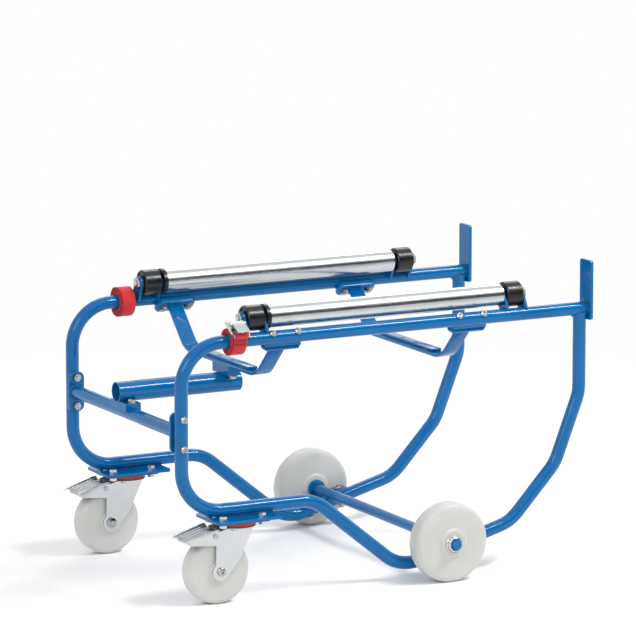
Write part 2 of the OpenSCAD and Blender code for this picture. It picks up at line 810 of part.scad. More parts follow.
// Hex bolts with a washer on top, and nuts under the castor's plate
module castor_bolts(side) {
    grip = mount_t + castor_plate_t;
    washer_t = 1.6;
    color(zinc) on_castor(side) castor_bolt_places() translate([0, 0, castor_h + mount_t]) {
        reach = grip + nut_h + thread_out / 2;
        translate([0, 0, -reach]) cylinder(d = bolt_d, h = reach);
        cylinder(d = nut_w + 3, h = washer_t);
        translate([0, 0, washer_t]) cylinder(d = nut_w / cos(30), h = nut_h - 1, $fn = 6);
        translate([0, 0, -grip - nut_h]) hex_nut(nut_w, nut_h, bolt_d);
    }
}

module castor_seal(side) {
    lip = 1.5;
    r = seal_d / 2;
    inner = king_d / 2 + 3;
    color(seal_red) on_castor(side) translate([0, 0, plate_low - seal_h]) rotate_extrude()
        polygon([
            [inner, 0], [r - lip, 0], [r, lip], [r, seal_h - lip], [r - lip, seal_h], [inner, seal_h]
        ]);
}

// King pin: through the castor's plate, with a head under the fork's crown
module king_pin(side) {
    color(zinc) on_castor(side) {
        translate([0, 0, crown_low - castor_gap - king_head_h]) {
            cylinder(d1 = king_head_d - 6, d2 = king_head_d, h = king_head_h);
            cylinder(d = king_d, h = castor_h - seat_gap - crown_low + castor_gap + king_head_h);
        }
    }
}

// Outline of a fork cheek in x and z: nose under the pedal, leg round the axle
module cheek_outline() {
    nose_x = -100;
    nose_z = castor_h - 38.5;
    skirt_x = -castor_trail - 10;
    skirt_z = castor_h - 43;
    polygon([
        [nose_x, nose_z], [skirt_x, skirt_z], [-castor_trail - leg_r * 0.66, castor_wheel_r],
        [-castor_trail, castor_wheel_r], [-castor_trail + leg_r * 0.9, castor_wheel_r - leg_r * 0.45],
        [-3, castor_h - 72], [5, castor_h - 53], [25, crown_top], [-33, crown_top],
        [nose_x + 3, nose_z + 3.5]
    ]);
    translate([-castor_trail, castor_wheel_r]) circle(r = leg_r);
}

// Fork pressed from sheet: dished crown, two cheeks and a back web
module castor_fork(side) {
    crown_r = seal_d / 2 + 1;
    crown_step = 5;
    web_low = castor_h - 42;
    web_low_x = 10;
    web_top_x = 25;
    axle_hole = castor_pin_d + 2 * run_fit;
    color(zinc) on_castor(side) difference() {
        union() {
            translate([0, 0, crown_low])
                cylinder(r1 = crown_r - crown_step, r2 = crown_r, h = crown_h);
            for (s = [-1, 1])
                translate([0, s * (cheek_in + fork_t / 2), 0]) rotate([90, 0, 0])
                    linear_extrude(fork_t, center = true) cheek_outline();
            rotate([90, 0, 0]) linear_extrude(2 * cheek_out, center = true)
                polygon([
                    [web_low_x, web_low], [web_top_x, crown_top],
                    [web_top_x - fork_t * 1.3, crown_top], [web_low_x - fork_t * 1.3, web_low]
                ]);
        }
        translate([0, 0, crown_low - 1]) cylinder(d = king_d + 2 * run_fit, h = crown_h + 2);
        translate([-castor_trail, 0, castor_wheel_r]) rotate([90, 0, 0])
            cylinder(d = axle_hole, h = 4 * cheek_out, center = true);
        translate([-pedal_pivot_x, 0, pedal_pivot_z]) rotate([90, 0, 0])
            cylinder(d = pedal_pin_d + 2 * run_fit, h = 4 * cheek_out, center = true);
    }
}

// Solid nylon wheel: eased tread corners, recessed flanks and a long hub
module nylon_wheel(d, width, hub, hub_width, bore) {
    r = d / 2;
    w = width / 2;
    h = hub_width / 2;
    ease = 5;
    rim = 12;
    recess = 2.5;
    half = [
        [hub / 2, h - 1.5], [hub / 2 + 2, w - recess], [r - rim, w - recess],
        [r - rim + 3, w], [r - ease, w]
    ];
    arc = [for (a = [15 : 15 : 75]) [r - ease + ease * sin(a), w - ease + ease * cos(a)]];
    upper = concat([[bore / 2 + run_fit, h], [hub / 2 - 1.5, h]], half, arc, [[r, w - ease]]);
    lower = [for (i = [len(upper) - 1 : -1 : 0]) [upper[i][0], -upper[i][1]]];
    rotate([90, 0, 0]) rotate_extrude($fn = 96) polygon(concat(upper, lower));
}

module castor_wheel(side) {
    color(nylon) on_castor(side) translate([-castor_trail, 0, castor_wheel_r])
        nylon_wheel(castor_wheel_d, castor_wheel_w, 34, 2 * (cheek_in - 0.4), castor_pin_d);
}

// Wheel axle: hex bolt through both cheeks with a nut
module castor_axle(side) {
    head = 5;
    flat_w = 18;
    color(zinc) on_castor(side) translate([-castor_trail, 0, castor_wheel_r]) rotate([90, 0, 0]) {
        cylinder(d = castor_pin_d, h = 2 * cheek_out + head + thread_out, center = true);
        translate([0, 0, cheek_out + seat_gap]) cylinder(d = flat_w / cos(30), h = head, $fn = 6);
        translate([0, 0, -cheek_out - seat_gap - head])
            cylinder(d = flat_w / cos(30), h = head, $fn = 6);
    }
}

// Pedal: ribbed tread, side flanges outside the cheeks and arms on the hinge pin
module brake_pedal(side) {
    tip = [-pedal_reach, castor_h - 17.5];
    bend = [-pedal_reach + 24, castor_h - 16];
    top = [-60, castor_h - 5];
    heel = [-pedal_pivot_x - 0.5, castor_h - 13];
    nose = [-99, castor_h - 37];
    lip = [-pedal_reach + 17, castor_h - 18.5];
    flange_t = pedal_t;
    slope = atan2(top[1] - bend[1], top[0] - bend[0]);
    run = norm(top - bend);
    rib_h = 1.2;
    color(zinc) on_castor(side) difference() {
        union() {
            rotate([90, 0, 0]) linear_extrude(pedal_w, center = true)
                polygon([
                    tip, bend, top, [top[0] + 0.5, top[1] - pedal_t],
                    [bend[0], bend[1] - pedal_t], [tip[0], tip[1] - pedal_t * 0.6]
                ]);
            for (s = [-1, 1])
                translate([0, s * (pedal_w - flange_t) / 2, 0]) rotate([90, 0, 0])
                    linear_extrude(flange_t, center = true)
                        polygon([bend, top, heel, nose, [nose[0] - 16, nose[1] + 6.5], lip]);
            for (s = [-1, 1])
                translate([0, s * (pedal_arm_out - pedal_t / 2), 0]) rotate([90, 0, 0])
                    linear_extrude(pedal_t, center = true) {
                        translate([-pedal_pivot_x, pedal_pivot_z]) circle(r = pedal_boss_r);
                        polygon([
                            [-pedal_pivot_x - pedal_boss_r, pedal_pivot_z],
                            [-pedal_pivot_x + pedal_boss_r, pedal_pivot_z],
                            [top[0], top[1] - pedal_t / 2], [top[0] - 13, top[1] - pedal_t / 2 - 2.4]
                        ]);
                    }
            for (i = [1 : tread_ribs])
                translate([bend[0], 0, bend[1]]) rotate([0, -slope, 0])
                    translate([run * (i - 0.5) / (tread_ribs + 2.2), 0, rib_h / 2 - 0.2])
                        cube([3, pedal_w - 8, rib_h], center = true);
            rotate([90, 0, 0]) linear_extrude(2 * pedal_arm_out, center = true)
                polygon([
                    [top[0] - 22, top[1] - 4.6], top, [top[0], top[1] + 1], [top[0] - 15, top[1] + 1]
                ]);
        }
        translate([-pedal_pivot_x, 0, pedal_pivot_z]) rotate([90, 0, 0])
            cylinder(d = pedal_pin_d + 2 * run_fit, h = 2 * pedal_w, center = true);
    }
}

module pedal_pin(side) {
    head_t = 1.5;
    color(zinc) on_castor(side) translate([-pedal_pivot_x, 0, pedal_pivot_z]) rotate([90, 0, 0]) {
        cylinder(d = pedal_pin_d, h = 2 * (cheek_out + head_t), center = true);
        for (s = [-1, 1])
            translate([0, 0, s * (cheek_out + seat_gap + head_t / 2)])
                cylinder(d = pedal_pin_d + 4, h = head_t, center = true);
    }
}

module rear_axle() {
    ease = 1.5;
    color(frame_blue) placed() translate([axle_x, 0, axle_z]) rotate([90, 0, 0]) {
        cylinder(d = axle_d, h = axle_len - 2 * ease, center = true);
        for (s = [0, 1])
            mirror([0, 0, s]) translate([0, 0, axle_len / 2 - ease])
                cylinder(d1 = axle_d, d2 = axle_d - 2 * ease, h = ease);
    }
}

// Plates welded under the axle and bolted through the rocker tubes
module axle_plates() {
    weld_w = 17;
    weld_h = 4;
    color(frame_blue) for (side = [LEFT, RIGHT])
        on_side(side) rocker_frame(0) difference() {
            union() {
                translate([0, 0, tube_r + seat_gap]) linear_extrude(axle_plate_t - seat_gap)
                    rounded_bar([axle_plate_l, axle_plate_w], 5);
                translate([-weld_w / 2, -axle_plate_w / 2, tube_r + axle_plate_t / 2])
                    cube([weld_w, axle_plate_w, axle_plate_t / 2 + weld_h]);
            }
            translate([0, 0, axle_to_tube]) rotate([90, 0, 0])
                cylinder(d = axle_d + 2 * run_fit, h = 2 * axle_plate_w, center = true);
            for (s = [-1, 1] * axle_bolt_pitch / 2)
                translate([s, 0, 0]) bolt_hole(0, 2 * tube_d);
        }
}

module axle_plate_bolts() {
    color(zinc) for (side = [LEFT, RIGHT], s = [-1, 1] * axle_bolt_pitch / 2)
        on_side(side) rocker_frame(s) translate([0, 0, tube_r + axle_plate_t])
            frame_bolt(tube_d + axle_plate_t);
}

module on_axle(side) {
    placed() translate([axle_x, 0, axle_z]) rotate([side == LEFT ? 90 : -90, 0, 0]) children();
}

module axle_collars() {
    color(frame_blue) for (side = [LEFT, RIGHT])
        on_axle(side) translate([0, 0, collar_y])
            turned_ring(collar_d, axle_d + 2 * run_fit, collar_w);
}

// Domed push-on washers that keep the wheels on the axle
module wheel_caps() {
    color(zinc) for (side = [LEFT, RIGHT])
        on_axle(side) translate([0, 0, cap_y]) difference() {
            cylinder(d1 = cap_d, d2 = cap_d - 6, h = cap_t);
            translate([0, 0, -1]) cylinder(d = axle_d + 2 * run_fit, h = cap_t + 2);
        }
}

module rear_wheel(side) {
    color(nylon) placed() translate([axle_x, side * wheel_y, axle_z])
        nylon_wheel(wheel_d, wheel_w, hub_d, hub_w, axle_d);
}

// Frame of a rolled strap at its middle: x outwards, y up, z along the rail
module on_strap(side) {
    on_side(side) translate([strap_x, 0, rail_z]) rotate([90, 0, -90]) children();
}

// Strap half with the buckle: the roll's outer shape round the rail, a run that leaves it
// straight, and the sewn eye round the buckle's bar
module strap_left() {
    half = strap_t / 2;
    eye = [buckle_roll_r - half + eye_r, leave_len];
    color(strap_red) on_strap(LEFT) rotate([0, 0, buckle_angle - bar_angle - leave_angle])
        linear_extrude(strap_w, center = true) difference() {
            union() {
                circle(buckle_roll_r);
                translate([buckle_roll_r - strap_t, 0]) square([strap_t, leave_len]);
                translate(eye) circle(eye_r + half);
            }
            circle(tube_r + strap_play);
            translate(eye) circle(eye_r - half);
        }
}

module strap_right() {
    half = strap_t / 2;
    color(strap_red) on_strap(RIGHT) rotate([0, 0, buckle_angle])
        linear_extrude(strap_w, center = true)
            polygon(concat(roll_edge(free_turns, half), flipped(roll_edge(free_turns, -half))));
}

// Frame of the buckle: x along the strap, y up from the roll, z along the rail
module on_buckle() {
    on_strap(LEFT) rotate([0, 0, buckle_angle - 90])
        translate([0, buckle_roll_r + buckle_seat, 0]) mirror([1, 0, 0]) children();
}

module buckle_cheek() {
    front = buckle_len / 2;
    difference() {
        union() {
            translate([-front + 3, 0]) square([buckle_len - 5, 6]);
            translate([-front + 3, 3.5]) circle(r = 3.5);
            translate([front - 3, 3]) circle(r = 3);
            translate([buckle_pin_x, buckle_pin_z]) circle(r = 5);
            polygon([
                [buckle_pin_x - 10, 5], [buckle_pin_x + 10, 5],
                [buckle_pin_x + 4.5, buckle_pin_z + 2], [buckle_pin_x - 4.5, buckle_pin_z + 2]
            ]);
        }
        translate([buckle_pin_x, buckle_pin_z]) circle(d = buckle_pin_d + 2 * run_fit);
    }
}

// Buckle frame: floor, two cheeks and the bar that carries the sewn strap end
module buckle_frame() {
    floor_x = -bar_back + bar_d / 2 + 6;
    color(zinc) on_buckle() {
        translate([floor_x, 0, -buckle_in - buckle_t / 2])
            cube([buckle_len / 2 - floor_x - 1, buckle_floor_t, 2 * buckle_in + buckle_t]);
        for (s = [-1, 1])
            translate([0, 0, s * (buckle_in + buckle_t / 2)])
                linear_extrude(buckle_t, center = true) buckle_cheek();
        translate([-bar_back, bar_up - buckle_seat, 0])
            cylinder(d = bar_d, h = 2 * buckle_in + buckle_t, center = true);
    }
}

// Lever: toothed cam on the pin and a thumb plate over the strap end
module buckle_lever() {
    teeth = 5;
    plate_len = 30;
    width = strap_w - 1;
    color(zinc) on_buckle() translate([buckle_pin_x, buckle_pin_z, 0]) difference() {
        union() {
            cylinder(r = cam_r, h = width, center = true);
            for (i = [0 : teeth - 1])
                rotate([0, 0, -130 + 20 * i]) translate([cam_r, 0, 0])
                    cube([1.8, 1, width - 1], center = true);
            linear_extrude(width - 2, center = true) polygon([
                [2.5, cam_r - 2.8], [-plate_len, cam_r + 1.5], [-plate_len, cam_r + 3.3],
                [-plate_len + 8, cam_r + 2.4], [1.5, cam_r - 0.8]
            ]);
        }
        cylinder(d = buckle_pin_d + 2 * run_fit, h = width + 2, center = true);
    }
}

module buckle_pin() {
    head_t = 1;
    half = buckle_in + buckle_t + seat_gap;
    color(zinc) on_buckle() translate([buckle_pin_x, buckle_pin_z, 0]) {
        cylinder(d = buckle_pin_d, h = 2 * half, center = true);
        for (s = [-1, 1])
            translate([0, 0, s * (half + head_t / 2)])
                cylinder(d = buckle_pin_d + 2, h = head_t, center = true);
    }
}

side_frame(LEFT);  // side_frame_left
side_frame(RIGHT);  // side_frame_right
drum_stop(LEFT);  // drum_stop_left
drum_stop(RIGHT);  // drum_stop_right
cross_tube();
cross_tube_bolts();
lever_socket();
socket_brackets();
socket_bolts();
bearer(bearer_front_x);  // bearer_front
bearer(bearer_rear_x);  // bearer_rear
bearer_bolts();
roller_lugs(LEFT);  // roller_lugs_left
roller_lugs(RIGHT);  // roller_lugs_right
roller_axle(LEFT);  // roller_axle_left
roller_axle(RIGHT);  // roller_axle_right
roller_axle_nuts();
spacer_rings();
support_roller(LEFT);  // support_roller_left
support_roller(RIGHT);  // support_roller_right
roller_caps(LEFT);  // roller_caps_left
roller_caps(RIGHT);  // roller_caps_right
end_roller(LEFT, roller_end_a);  // end_roller_front_left
end_roller(RIGHT, roller_end_a);  // end_roller_front_right
end_roller(LEFT, roller_end_b);  // end_roller_rear_left
end_roller(RIGHT, roller_end_b);  // end_roller_rear_right
castor_mount(LEFT);  // castor_mount_left
castor_mount(RIGHT);  // castor_mount_right
castor_plate(LEFT);  // castor_plate_left
castor_plate(RIGHT);  // castor_plate_right
castor_bolts(LEFT);  // castor_bolts_left
castor_bolts(RIGHT);  // castor_bolts_right
castor_seal(LEFT);  // castor_seal_left
castor_seal(RIGHT);  // castor_seal_right
king_pin(LEFT);  // king_pin_left
king_pin(RIGHT);  // king_pin_right
castor_fork(LEFT);  // castor_fork_left
castor_fork(RIGHT);  // castor_fork_right
castor_wheel(LEFT);  // castor_wheel_left
castor_wheel(RIGHT);  // castor_wheel_right
castor_axle(LEFT);  // castor_axle_left
castor_axle(RIGHT);  // castor_axle_right
brake_pedal(LEFT);  // brake_pedal_left
brake_pedal(RIGHT);  // brake_pedal_right
pedal_pin(LEFT);  // pedal_pin_left
pedal_pin(RIGHT);  // pedal_pin_right
rear_axle();
axle_plates();
axle_plate_bolts();
axle_collars();
wheel_caps();
rear_wheel(LEFT);  // rear_wheel_left
rear_wheel(RIGHT);  // rear_wheel_right
strap_left();
strap_right();
buckle_frame();
buckle_lever();
buckle_pin();
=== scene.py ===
# %% [markdown]
# The tipper, dressed for the camera.
# The real object is a cradle of bent blue tube. It stands on two braked castors and two
# fixed nylon wheels, and what it tips lies on its rollers. The construction comes from the
# CAD model, which is loaded first and never moved. This lesson gives each of its parts a
# finish, and models what welding, sewing and weaving add.

# %% Load the frame
import json
import math

import bpy
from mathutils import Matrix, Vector
from mathutils.kdtree import KDTree


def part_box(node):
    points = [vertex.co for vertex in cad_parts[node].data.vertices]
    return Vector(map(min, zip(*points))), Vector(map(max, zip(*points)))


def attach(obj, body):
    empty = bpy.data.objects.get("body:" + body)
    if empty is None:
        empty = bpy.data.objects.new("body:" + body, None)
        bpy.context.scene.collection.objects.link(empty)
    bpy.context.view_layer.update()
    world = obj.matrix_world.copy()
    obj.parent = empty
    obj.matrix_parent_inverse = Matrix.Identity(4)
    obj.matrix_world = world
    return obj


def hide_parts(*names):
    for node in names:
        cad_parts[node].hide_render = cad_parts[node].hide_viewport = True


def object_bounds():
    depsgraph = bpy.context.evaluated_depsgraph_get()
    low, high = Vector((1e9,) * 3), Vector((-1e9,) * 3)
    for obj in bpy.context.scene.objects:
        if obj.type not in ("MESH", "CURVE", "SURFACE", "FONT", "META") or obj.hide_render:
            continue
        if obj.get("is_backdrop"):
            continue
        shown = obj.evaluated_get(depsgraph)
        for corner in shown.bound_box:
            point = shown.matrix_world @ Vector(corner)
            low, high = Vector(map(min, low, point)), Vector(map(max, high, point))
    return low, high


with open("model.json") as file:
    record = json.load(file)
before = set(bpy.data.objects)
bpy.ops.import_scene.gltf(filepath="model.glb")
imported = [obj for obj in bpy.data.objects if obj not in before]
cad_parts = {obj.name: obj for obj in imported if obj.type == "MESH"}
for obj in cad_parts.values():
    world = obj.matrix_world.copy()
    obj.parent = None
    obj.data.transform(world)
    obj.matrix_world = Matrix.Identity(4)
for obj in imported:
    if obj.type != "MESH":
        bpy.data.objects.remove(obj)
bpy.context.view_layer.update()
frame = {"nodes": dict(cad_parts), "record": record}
nodes = frame["nodes"]

LEFT = -1
RIGHT = 1
SIDES = {"left": LEFT, "right": RIGHT}
rail_y = 0.234
rail_z = 0.485
tube_r = 0.0125

# %% [markdown]
# The camera. The photograph was taken from far away with a long lens, from the castor end
# and a little above. A camera is placed by three things here: the point it looks at, the
# direction back from that point, and the distance. The shift slides the picture so that
# the object sits as low in it as it does in the photograph.

# %% Camera
def add_to_scene(name, data):
    obj = bpy.data.objects.new(name, data)
    bpy.context.scene.collection.objects.link(obj)
    return obj


def aim(obj, place, way):
    """Puts a camera or a lamp at a place, looking along a direction."""
    obj.location = place
    obj.rotation_mode = "QUATERNION"
    obj.rotation_quaternion = way.to_track_quat("-Z", "Y")


look_at = Vector((-0.0095, 0.0, 0.400))
azimuth = math.radians(27.615)
elevation = math.radians(10.695)
distance = 9.879
back = Vector((
    -math.sin(azimuth) * math.cos(elevation),
    -math.cos(azimuth) * math.cos(elevation),
    math.sin(elevation),
))
camera_data = bpy.data.cameras.new("camera")
camera_data.sensor_width = 36.0
camera_data.lens = 295.6
camera_data.shift_x = 0.0025
camera_data.shift_y = 0.0535
camera_data.clip_end = 100
camera = add_to_scene("camera", camera_data)
aim(camera, look_at + back * distance, -back)
bpy.context.scene.camera = camera
bpy.context.scene.view_settings.view_transform = "Standard"
print("camera at", [round(v, 3) for v in camera.location])

# %% [markdown]
# Helpers for materials. Every finish is a small tree of nodes that reads Object
# coordinates. The objects all sit at the origin, so these are places on the real thing in
# metres, and a grain of a millimetre is a scale of about a thousand. The helpers keep each
# finish down to the few lines that matter.

# %% Material helpers
def srgb(code):
    """A hex colour as Blender's linear values."""
    parts = [int(code[i:i + 2], 16) / 255 for i in (0, 2, 4)]
    return [p / 12.92 if p <= 0.04045 else ((p + 0.055) / 1.055) ** 2.4 for p in parts] + [1.0]


class Nodes:
    """A tree of shader nodes, with short ways to add to it."""

    def __init__(self, tree):
        self.tree = tree

    def feed(self, socket, value):
        """Links an output to a socket, or writes a plain value into it."""
        if isinstance(value, bpy.types.NodeSocket):
            self.tree.links.new(value, socket)
        else:
            socket.default_value = value

    def add(self, kind, feeds=None, **settings):
        """A new node. feeds gives what goes into its sockets, by name or number."""
        node = self.tree.nodes.new(kind)
        for key, value in settings.items():
            setattr(node, key, value)
        for key, value in (feeds or {}).items():
            self.feed(node.inputs[key], value)
        return node

    def range(self, factor, low, high, start=0.0, end=1.0):
        """A number that runs from low to high as the factor runs from start to end."""
        return self.add("ShaderNodeMapRange", {
            "Value": factor, "From Min": start, "From Max": end, "To Min": low, "To Max": high,
        }).outputs["Result"]

    def math(self, operation, a, b=0.0):
        return self.add("ShaderNodeMath", {0: a, 1: b}, operation=operation).outputs["Value"]

    def length(self, vector):
        return self.add("ShaderNodeVectorMath", {0: vector}, operation="LENGTH").outputs["Value"]


class Finish(Nodes):
    """A material with its main shader, fed by patterns that read Object coordinates."""

    def __init__(self, name):
        self.material = bpy.data.materials.new(name)
        self.material.use_nodes = True
        super().__init__(self.material.node_tree)
        self.shader = self.tree.nodes["Principled BSDF"]
        self.place = self.add("ShaderNodeTexCoord").outputs["Object"]

    def set(self, **values):
        """Plain values or outputs for the main shader, such as Roughness=0.4."""
        for key, value in values.items():
            self.feed(self.shader.inputs[key.replace("_", " ")], value)

    def mapped(self, scale=(1, 1, 1), offset=(0, 0, 0)):
        return self.add("ShaderNodeMapping", {
            "Vector": self.place, "Scale": scale, "Location": offset,
        }, vector_type="POINT").outputs["Vector"]

    def noise(self, scale, detail=2.0, roughness=0.5, place=None):
        return self.add("ShaderNodeTexNoise", {
            "Vector": place or self.place, "Scale": scale, "Detail": detail,
            "Roughness": roughness,
        }).outputs["Fac"]

    def ramp(self, factor, stops):
        """A colour ramp. stops are (place, hex colour) pairs."""
        node = self.add("ShaderNodeValToRGB", {"Fac": factor})
        elements = node.color_ramp.elements
        elements[0].position, elements[0].color = stops[0][0], srgb(stops[0][1])
        elements[1].position, elements[1].color = stops[-1][0], srgb(stops[-1][1])
        for position, colour in stops[1:-1]:
            elements.new(position).color = srgb(colour)
        return node.outputs["Color"]

    def mix(self, factor, colour_a, colour_b):
        node = self.add("ShaderNodeMix", {0: factor, 6: colour_a, 7: colour_b}, data_type="RGBA")
        return node.outputs[2]

    def bump(self, height, depth, strength=1.0, under=None):
        """depth is the real height of the bump in metres."""
        feeds = {"Distance": depth, "Strength": strength, "Height": height}
        if under:
            feeds["Normal"] = under
        return self.add("ShaderNodeBump", feeds).outputs["Normal"]


# %% [markdown]
# Blue powder coat. The real frame is sprayed with powder and baked, which leaves a glossy
# skin with a fine orange peel. One noise changes the colour a little from place to place,
# a finer one raises the peel, and a third makes the gloss uneven, as handling does. The
# underside of the rockers rolls on the floor, so there the coat is dull and scuffed.

# %% Powder coat
def make_powder_coat(name, light, dark):
    f = Finish(name)
    f.set(Metallic=0.0, Coat_Weight=0.10, Coat_Roughness=0.04, Specular_IOR_Level=0.28)
    colour = f.ramp(f.noise(9.0, 3.0), [(0.3, dark), (0.7, light)])
    height = f.add("ShaderNodeSeparateXYZ", {"Vector": f.place}).outputs["Z"]
    low = f.range(height, 1.0, 0.0, 0.020, 0.034)
    scratches = f.noise(1.0, 4.0, 0.7, f.mapped(scale=(60, 900, 900)))
    scuff = f.math("MULTIPLY", low, f.range(scratches, 0.0, 0.6, 0.52, 0.62))
    gloss = f.range(f.noise(35.0, 4.0), 0.07, 0.13, 0.3, 0.7)
    f.set(Base_Color=f.mix(scuff, colour, srgb("5f7f98")))
    f.set(Roughness=f.math("ADD", gloss, f.math("MULTIPLY", scuff, 0.3)))
    f.set(Normal=f.bump(f.noise(420.0, 1.0), 0.00006, 0.15))
    return f.material


powder_coat = make_powder_coat("blue_powder_coat", "0066a3", "005b95")
weld_coat = make_powder_coat("blue_coat_on_weld", "006099", "005489")

# %% [markdown]
# Zinc plate. Bolts, castors and pedals are plated bright, with a faint blue and straw tint
# where the passivation is thicker. The base is metallic, the tint comes from a large soft
# noise, and a stretched noise gives the drawn lines of pressed sheet. Bolts and nuts are
# darker and smoother. Galvanised tube has a pale spangle instead of the tint.

# %% Zinc and galvanised steel
def make_zinc(name, tints, dull, even):
    f = Finish(name)
    f.set(Metallic=1.0)
    f.set(Base_Color=f.ramp(f.noise(28.0, 3.0), list(zip((0.30, 0.5, 0.72), tints))))
    f.set(Roughness=f.range(f.noise(30.0, 1.0), even, dull, 0.3, 0.7))
    drawn = f.noise(1.0, 2.0, 0.5, f.mapped(scale=(500, 2600, 2600)))
    f.set(Normal=f.bump(drawn, 0.00001, 0.1))
    return f.material


def make_galvanised():
    """Rolled tube with a smooth zinc skin: pale spangle and fine lines along the tube."""
    f = Finish("galvanised_tube")
    f.set(Metallic=1.0)
    spangle = f.add("ShaderNodeTexVoronoi", {
        "Vector": f.mapped(scale=(0.4, 1, 1)), "Scale": 90.0,
    }, feature="F1")
    grey = f.add("ShaderNodeSeparateColor", {"Color": spangle.outputs["Color"]})
    f.set(Base_Color=f.ramp(grey.outputs["Red"], [(0.0, "bbc0c2"), (1.0, "c4c8c9")]))
    lines = f.noise(1.0, 3.0, 0.6, f.mapped(scale=(12, 900, 900)))
    f.set(Roughness=f.range(lines, 0.20, 0.28, 0.35, 0.65))
    f.set(Normal=f.bump(lines, 0.00002, 0.2))
    return f.material


zinc = make_zinc("bright_zinc", ("c4c8cb", "cacccd", "cccbc7"), 0.25, 0.19)
bolt_zinc = make_zinc("zinc_on_bolts", ("a2a6aa", "acafb1", "b2b0a8"), 0.20, 0.12)
galvanised = make_galvanised()

# %% [markdown]
# Cast nylon. The wheels are off-white and let a little light in, so their edges glow
# softly. A small amount of subsurface light does that. The flanks show the rings that a
# lathe leaves, so each wheel needs a pattern centred on its own axle: a Mapping node moves
# the object's coordinates to the hub first.

# %% Nylon, rubber and plastic
def lathe_rings(f, centre, lines_per_metre, axis="Y"):
    """Height of fine rings round an axis that runs through the centre."""
    scale = {"X": (0, 1, 1), "Y": (1, 0, 1)}[axis]
    moved = f.mapped(offset=tuple(-c * s for c, s in zip(centre, scale)), scale=scale)
    turns = f.math("MULTIPLY", f.length(moved), lines_per_metre * 2 * math.pi)
    return f.math("SINE", turns)


def make_nylon(name, centre):
    f = Finish(name)
    f.set(Subsurface_Weight=0.3, Subsurface_Radius=(1.0, 0.98, 0.92), Subsurface_Scale=0.008)
    f.set(Specular_IOR_Level=0.45, IOR=1.53)
    f.set(Base_Color=f.ramp(f.noise(22.0, 3.0), [(0.3, "c1c2be"), (0.7, "c9cac6")]))
    f.set(Roughness=f.range(f.noise(160.0, 3.0), 0.34, 0.50, 0.3, 0.7))
    marks = f.bump(f.noise(260.0, 3.0, 0.6), 0.0002, 0.10)
    f.set(Normal=f.bump(lathe_rings(f, centre, 900), 0.00002, 0.35, marks))
    return f.material


def make_moulded(name, dark, light, rough, grain, axis_at=None):
    """Moulded rubber or plastic with a fine grain, and rings where it was turned."""
    f = Finish(name)
    f.set(Specular_IOR_Level=0.4)
    f.set(Base_Color=f.ramp(f.noise(40.0, 4.0), [(0.35, dark), (0.7, light)]))
    f.set(Roughness=f.range(f.noise(200.0, 3.0), rough - 0.08, rough + 0.1, 0.3, 0.7))
    normal = f.bump(f.noise(grain, 2.0), 0.00003, 0.1)
    if axis_at:
        normal = f.bump(lathe_rings(f, axis_at, 700, "X"), 0.00002, 0.3, normal)
    f.set(Normal=normal)
    return f.material


seal_plastic = make_moulded("red_seal", "b03418", "c8421f", 0.40, 500.0)

# %% [markdown]
# The finishes go on the CAD nodes. Their meshes are loose triangles, as a solid modeller
# writes them, so each node gets a Weld modifier, which joins the corners, and an Edge Split
# modifier, which keeps true edges sharp while the round faces shade smoothly.

# %% Dress the CAD nodes
sharp_angle = math.radians(28)
weld_distance = 0.00002


def smooth(obj):
    for polygon in obj.data.polygons:
        polygon.use_smooth = True


def join_triangles(obj):
    """Smooths a CAD node's round faces and keeps its true edges sharp."""
    smooth(obj)
    weld = obj.modifiers.new("weld", "WELD")
    weld.merge_threshold = weld_distance
    split = obj.modifiers.new("edges", "EDGE_SPLIT")
    split.split_angle = sharp_angle
    split.use_edge_sharp = False


def wear(obj, material):
    obj.data.materials.clear()
    obj.data.materials.append(material)


def centre_of(name):
    low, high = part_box(name)
    return (low + high) / 2


def finish_for(name):
    """The material of one CAD node, by the piece's own name."""
    slot = slots[name]
    if name.endswith(("bolts", "nuts")) or name.startswith("pedal_pin"):
        return bolt_zinc
    if slot == "nylon_wheel":
        return make_nylon("nylon_" + name, centre_of(name))
    if slot == "black_roller":
        axis = centre_of(name) if name != "spacer_rings" else None
        return make_moulded("black_" + name, "111113", "1a1b1d", 0.28, 350.0, axis)
    return by_slot[slot]


slots = {row["node"]: row["material_slot"] for row in frame["record"]["subparts"]}
by_slot = {
    "frame_blue": powder_coat,
    "zinc_plate": zinc,
    "galvanised_tube": galvanised,
    "seal_ring": seal_plastic,
    "strap_webbing": seal_plastic,
}
for name, node in nodes.items():
    join_triangles(node)
    wear(node, finish_for(name))
print("dressed", len(nodes), "CAD nodes")

# %% [markdown]
# Tools for new pieces. Most of them start as a circle with its points moved onto an
# outline. A filled one is extruded into a plate, and an empty one is spun round an axis
# into a turned part. Plates are bevelled a little, because no real edge is sharp. Holes are
# cut with a cylinder, and bent rods are curves with a round section.

# %% Plates, turned parts and rods
def deselect_all():
    bpy.ops.object.select_all(action="DESELECT")


def pick(*objects):
    """Selects these objects alone and makes the first one active."""
    deselect_all()
    for obj in objects:
        obj.select_set(True)
    bpy.context.view_layer.objects.active = objects[0]


def edit(obj):
    pick(obj)
    bpy.ops.object.mode_set(mode="EDIT")
    bpy.ops.mesh.select_all(action="SELECT")


def recalculate(obj):
    edit(obj)
    bpy.ops.mesh.remove_doubles(threshold=1e-6)
    bpy.ops.mesh.normals_make_consistent(inside=False)
    bpy.ops.object.mode_set(mode="OBJECT")


def apply(obj, modifier):
    pick(obj)
    bpy.ops.object.modifier_apply(modifier=modifier.name)


def ease_edges(obj, width):
    """Rounds the sharp edges by a real width."""
    bevel = obj.modifiers.new("ease", "BEVEL")
    bevel.width = width
    bevel.segments = 2
    bevel.limit_method = "ANGLE"
    bevel.angle_limit = math.radians(35)
    apply(obj, bevel)


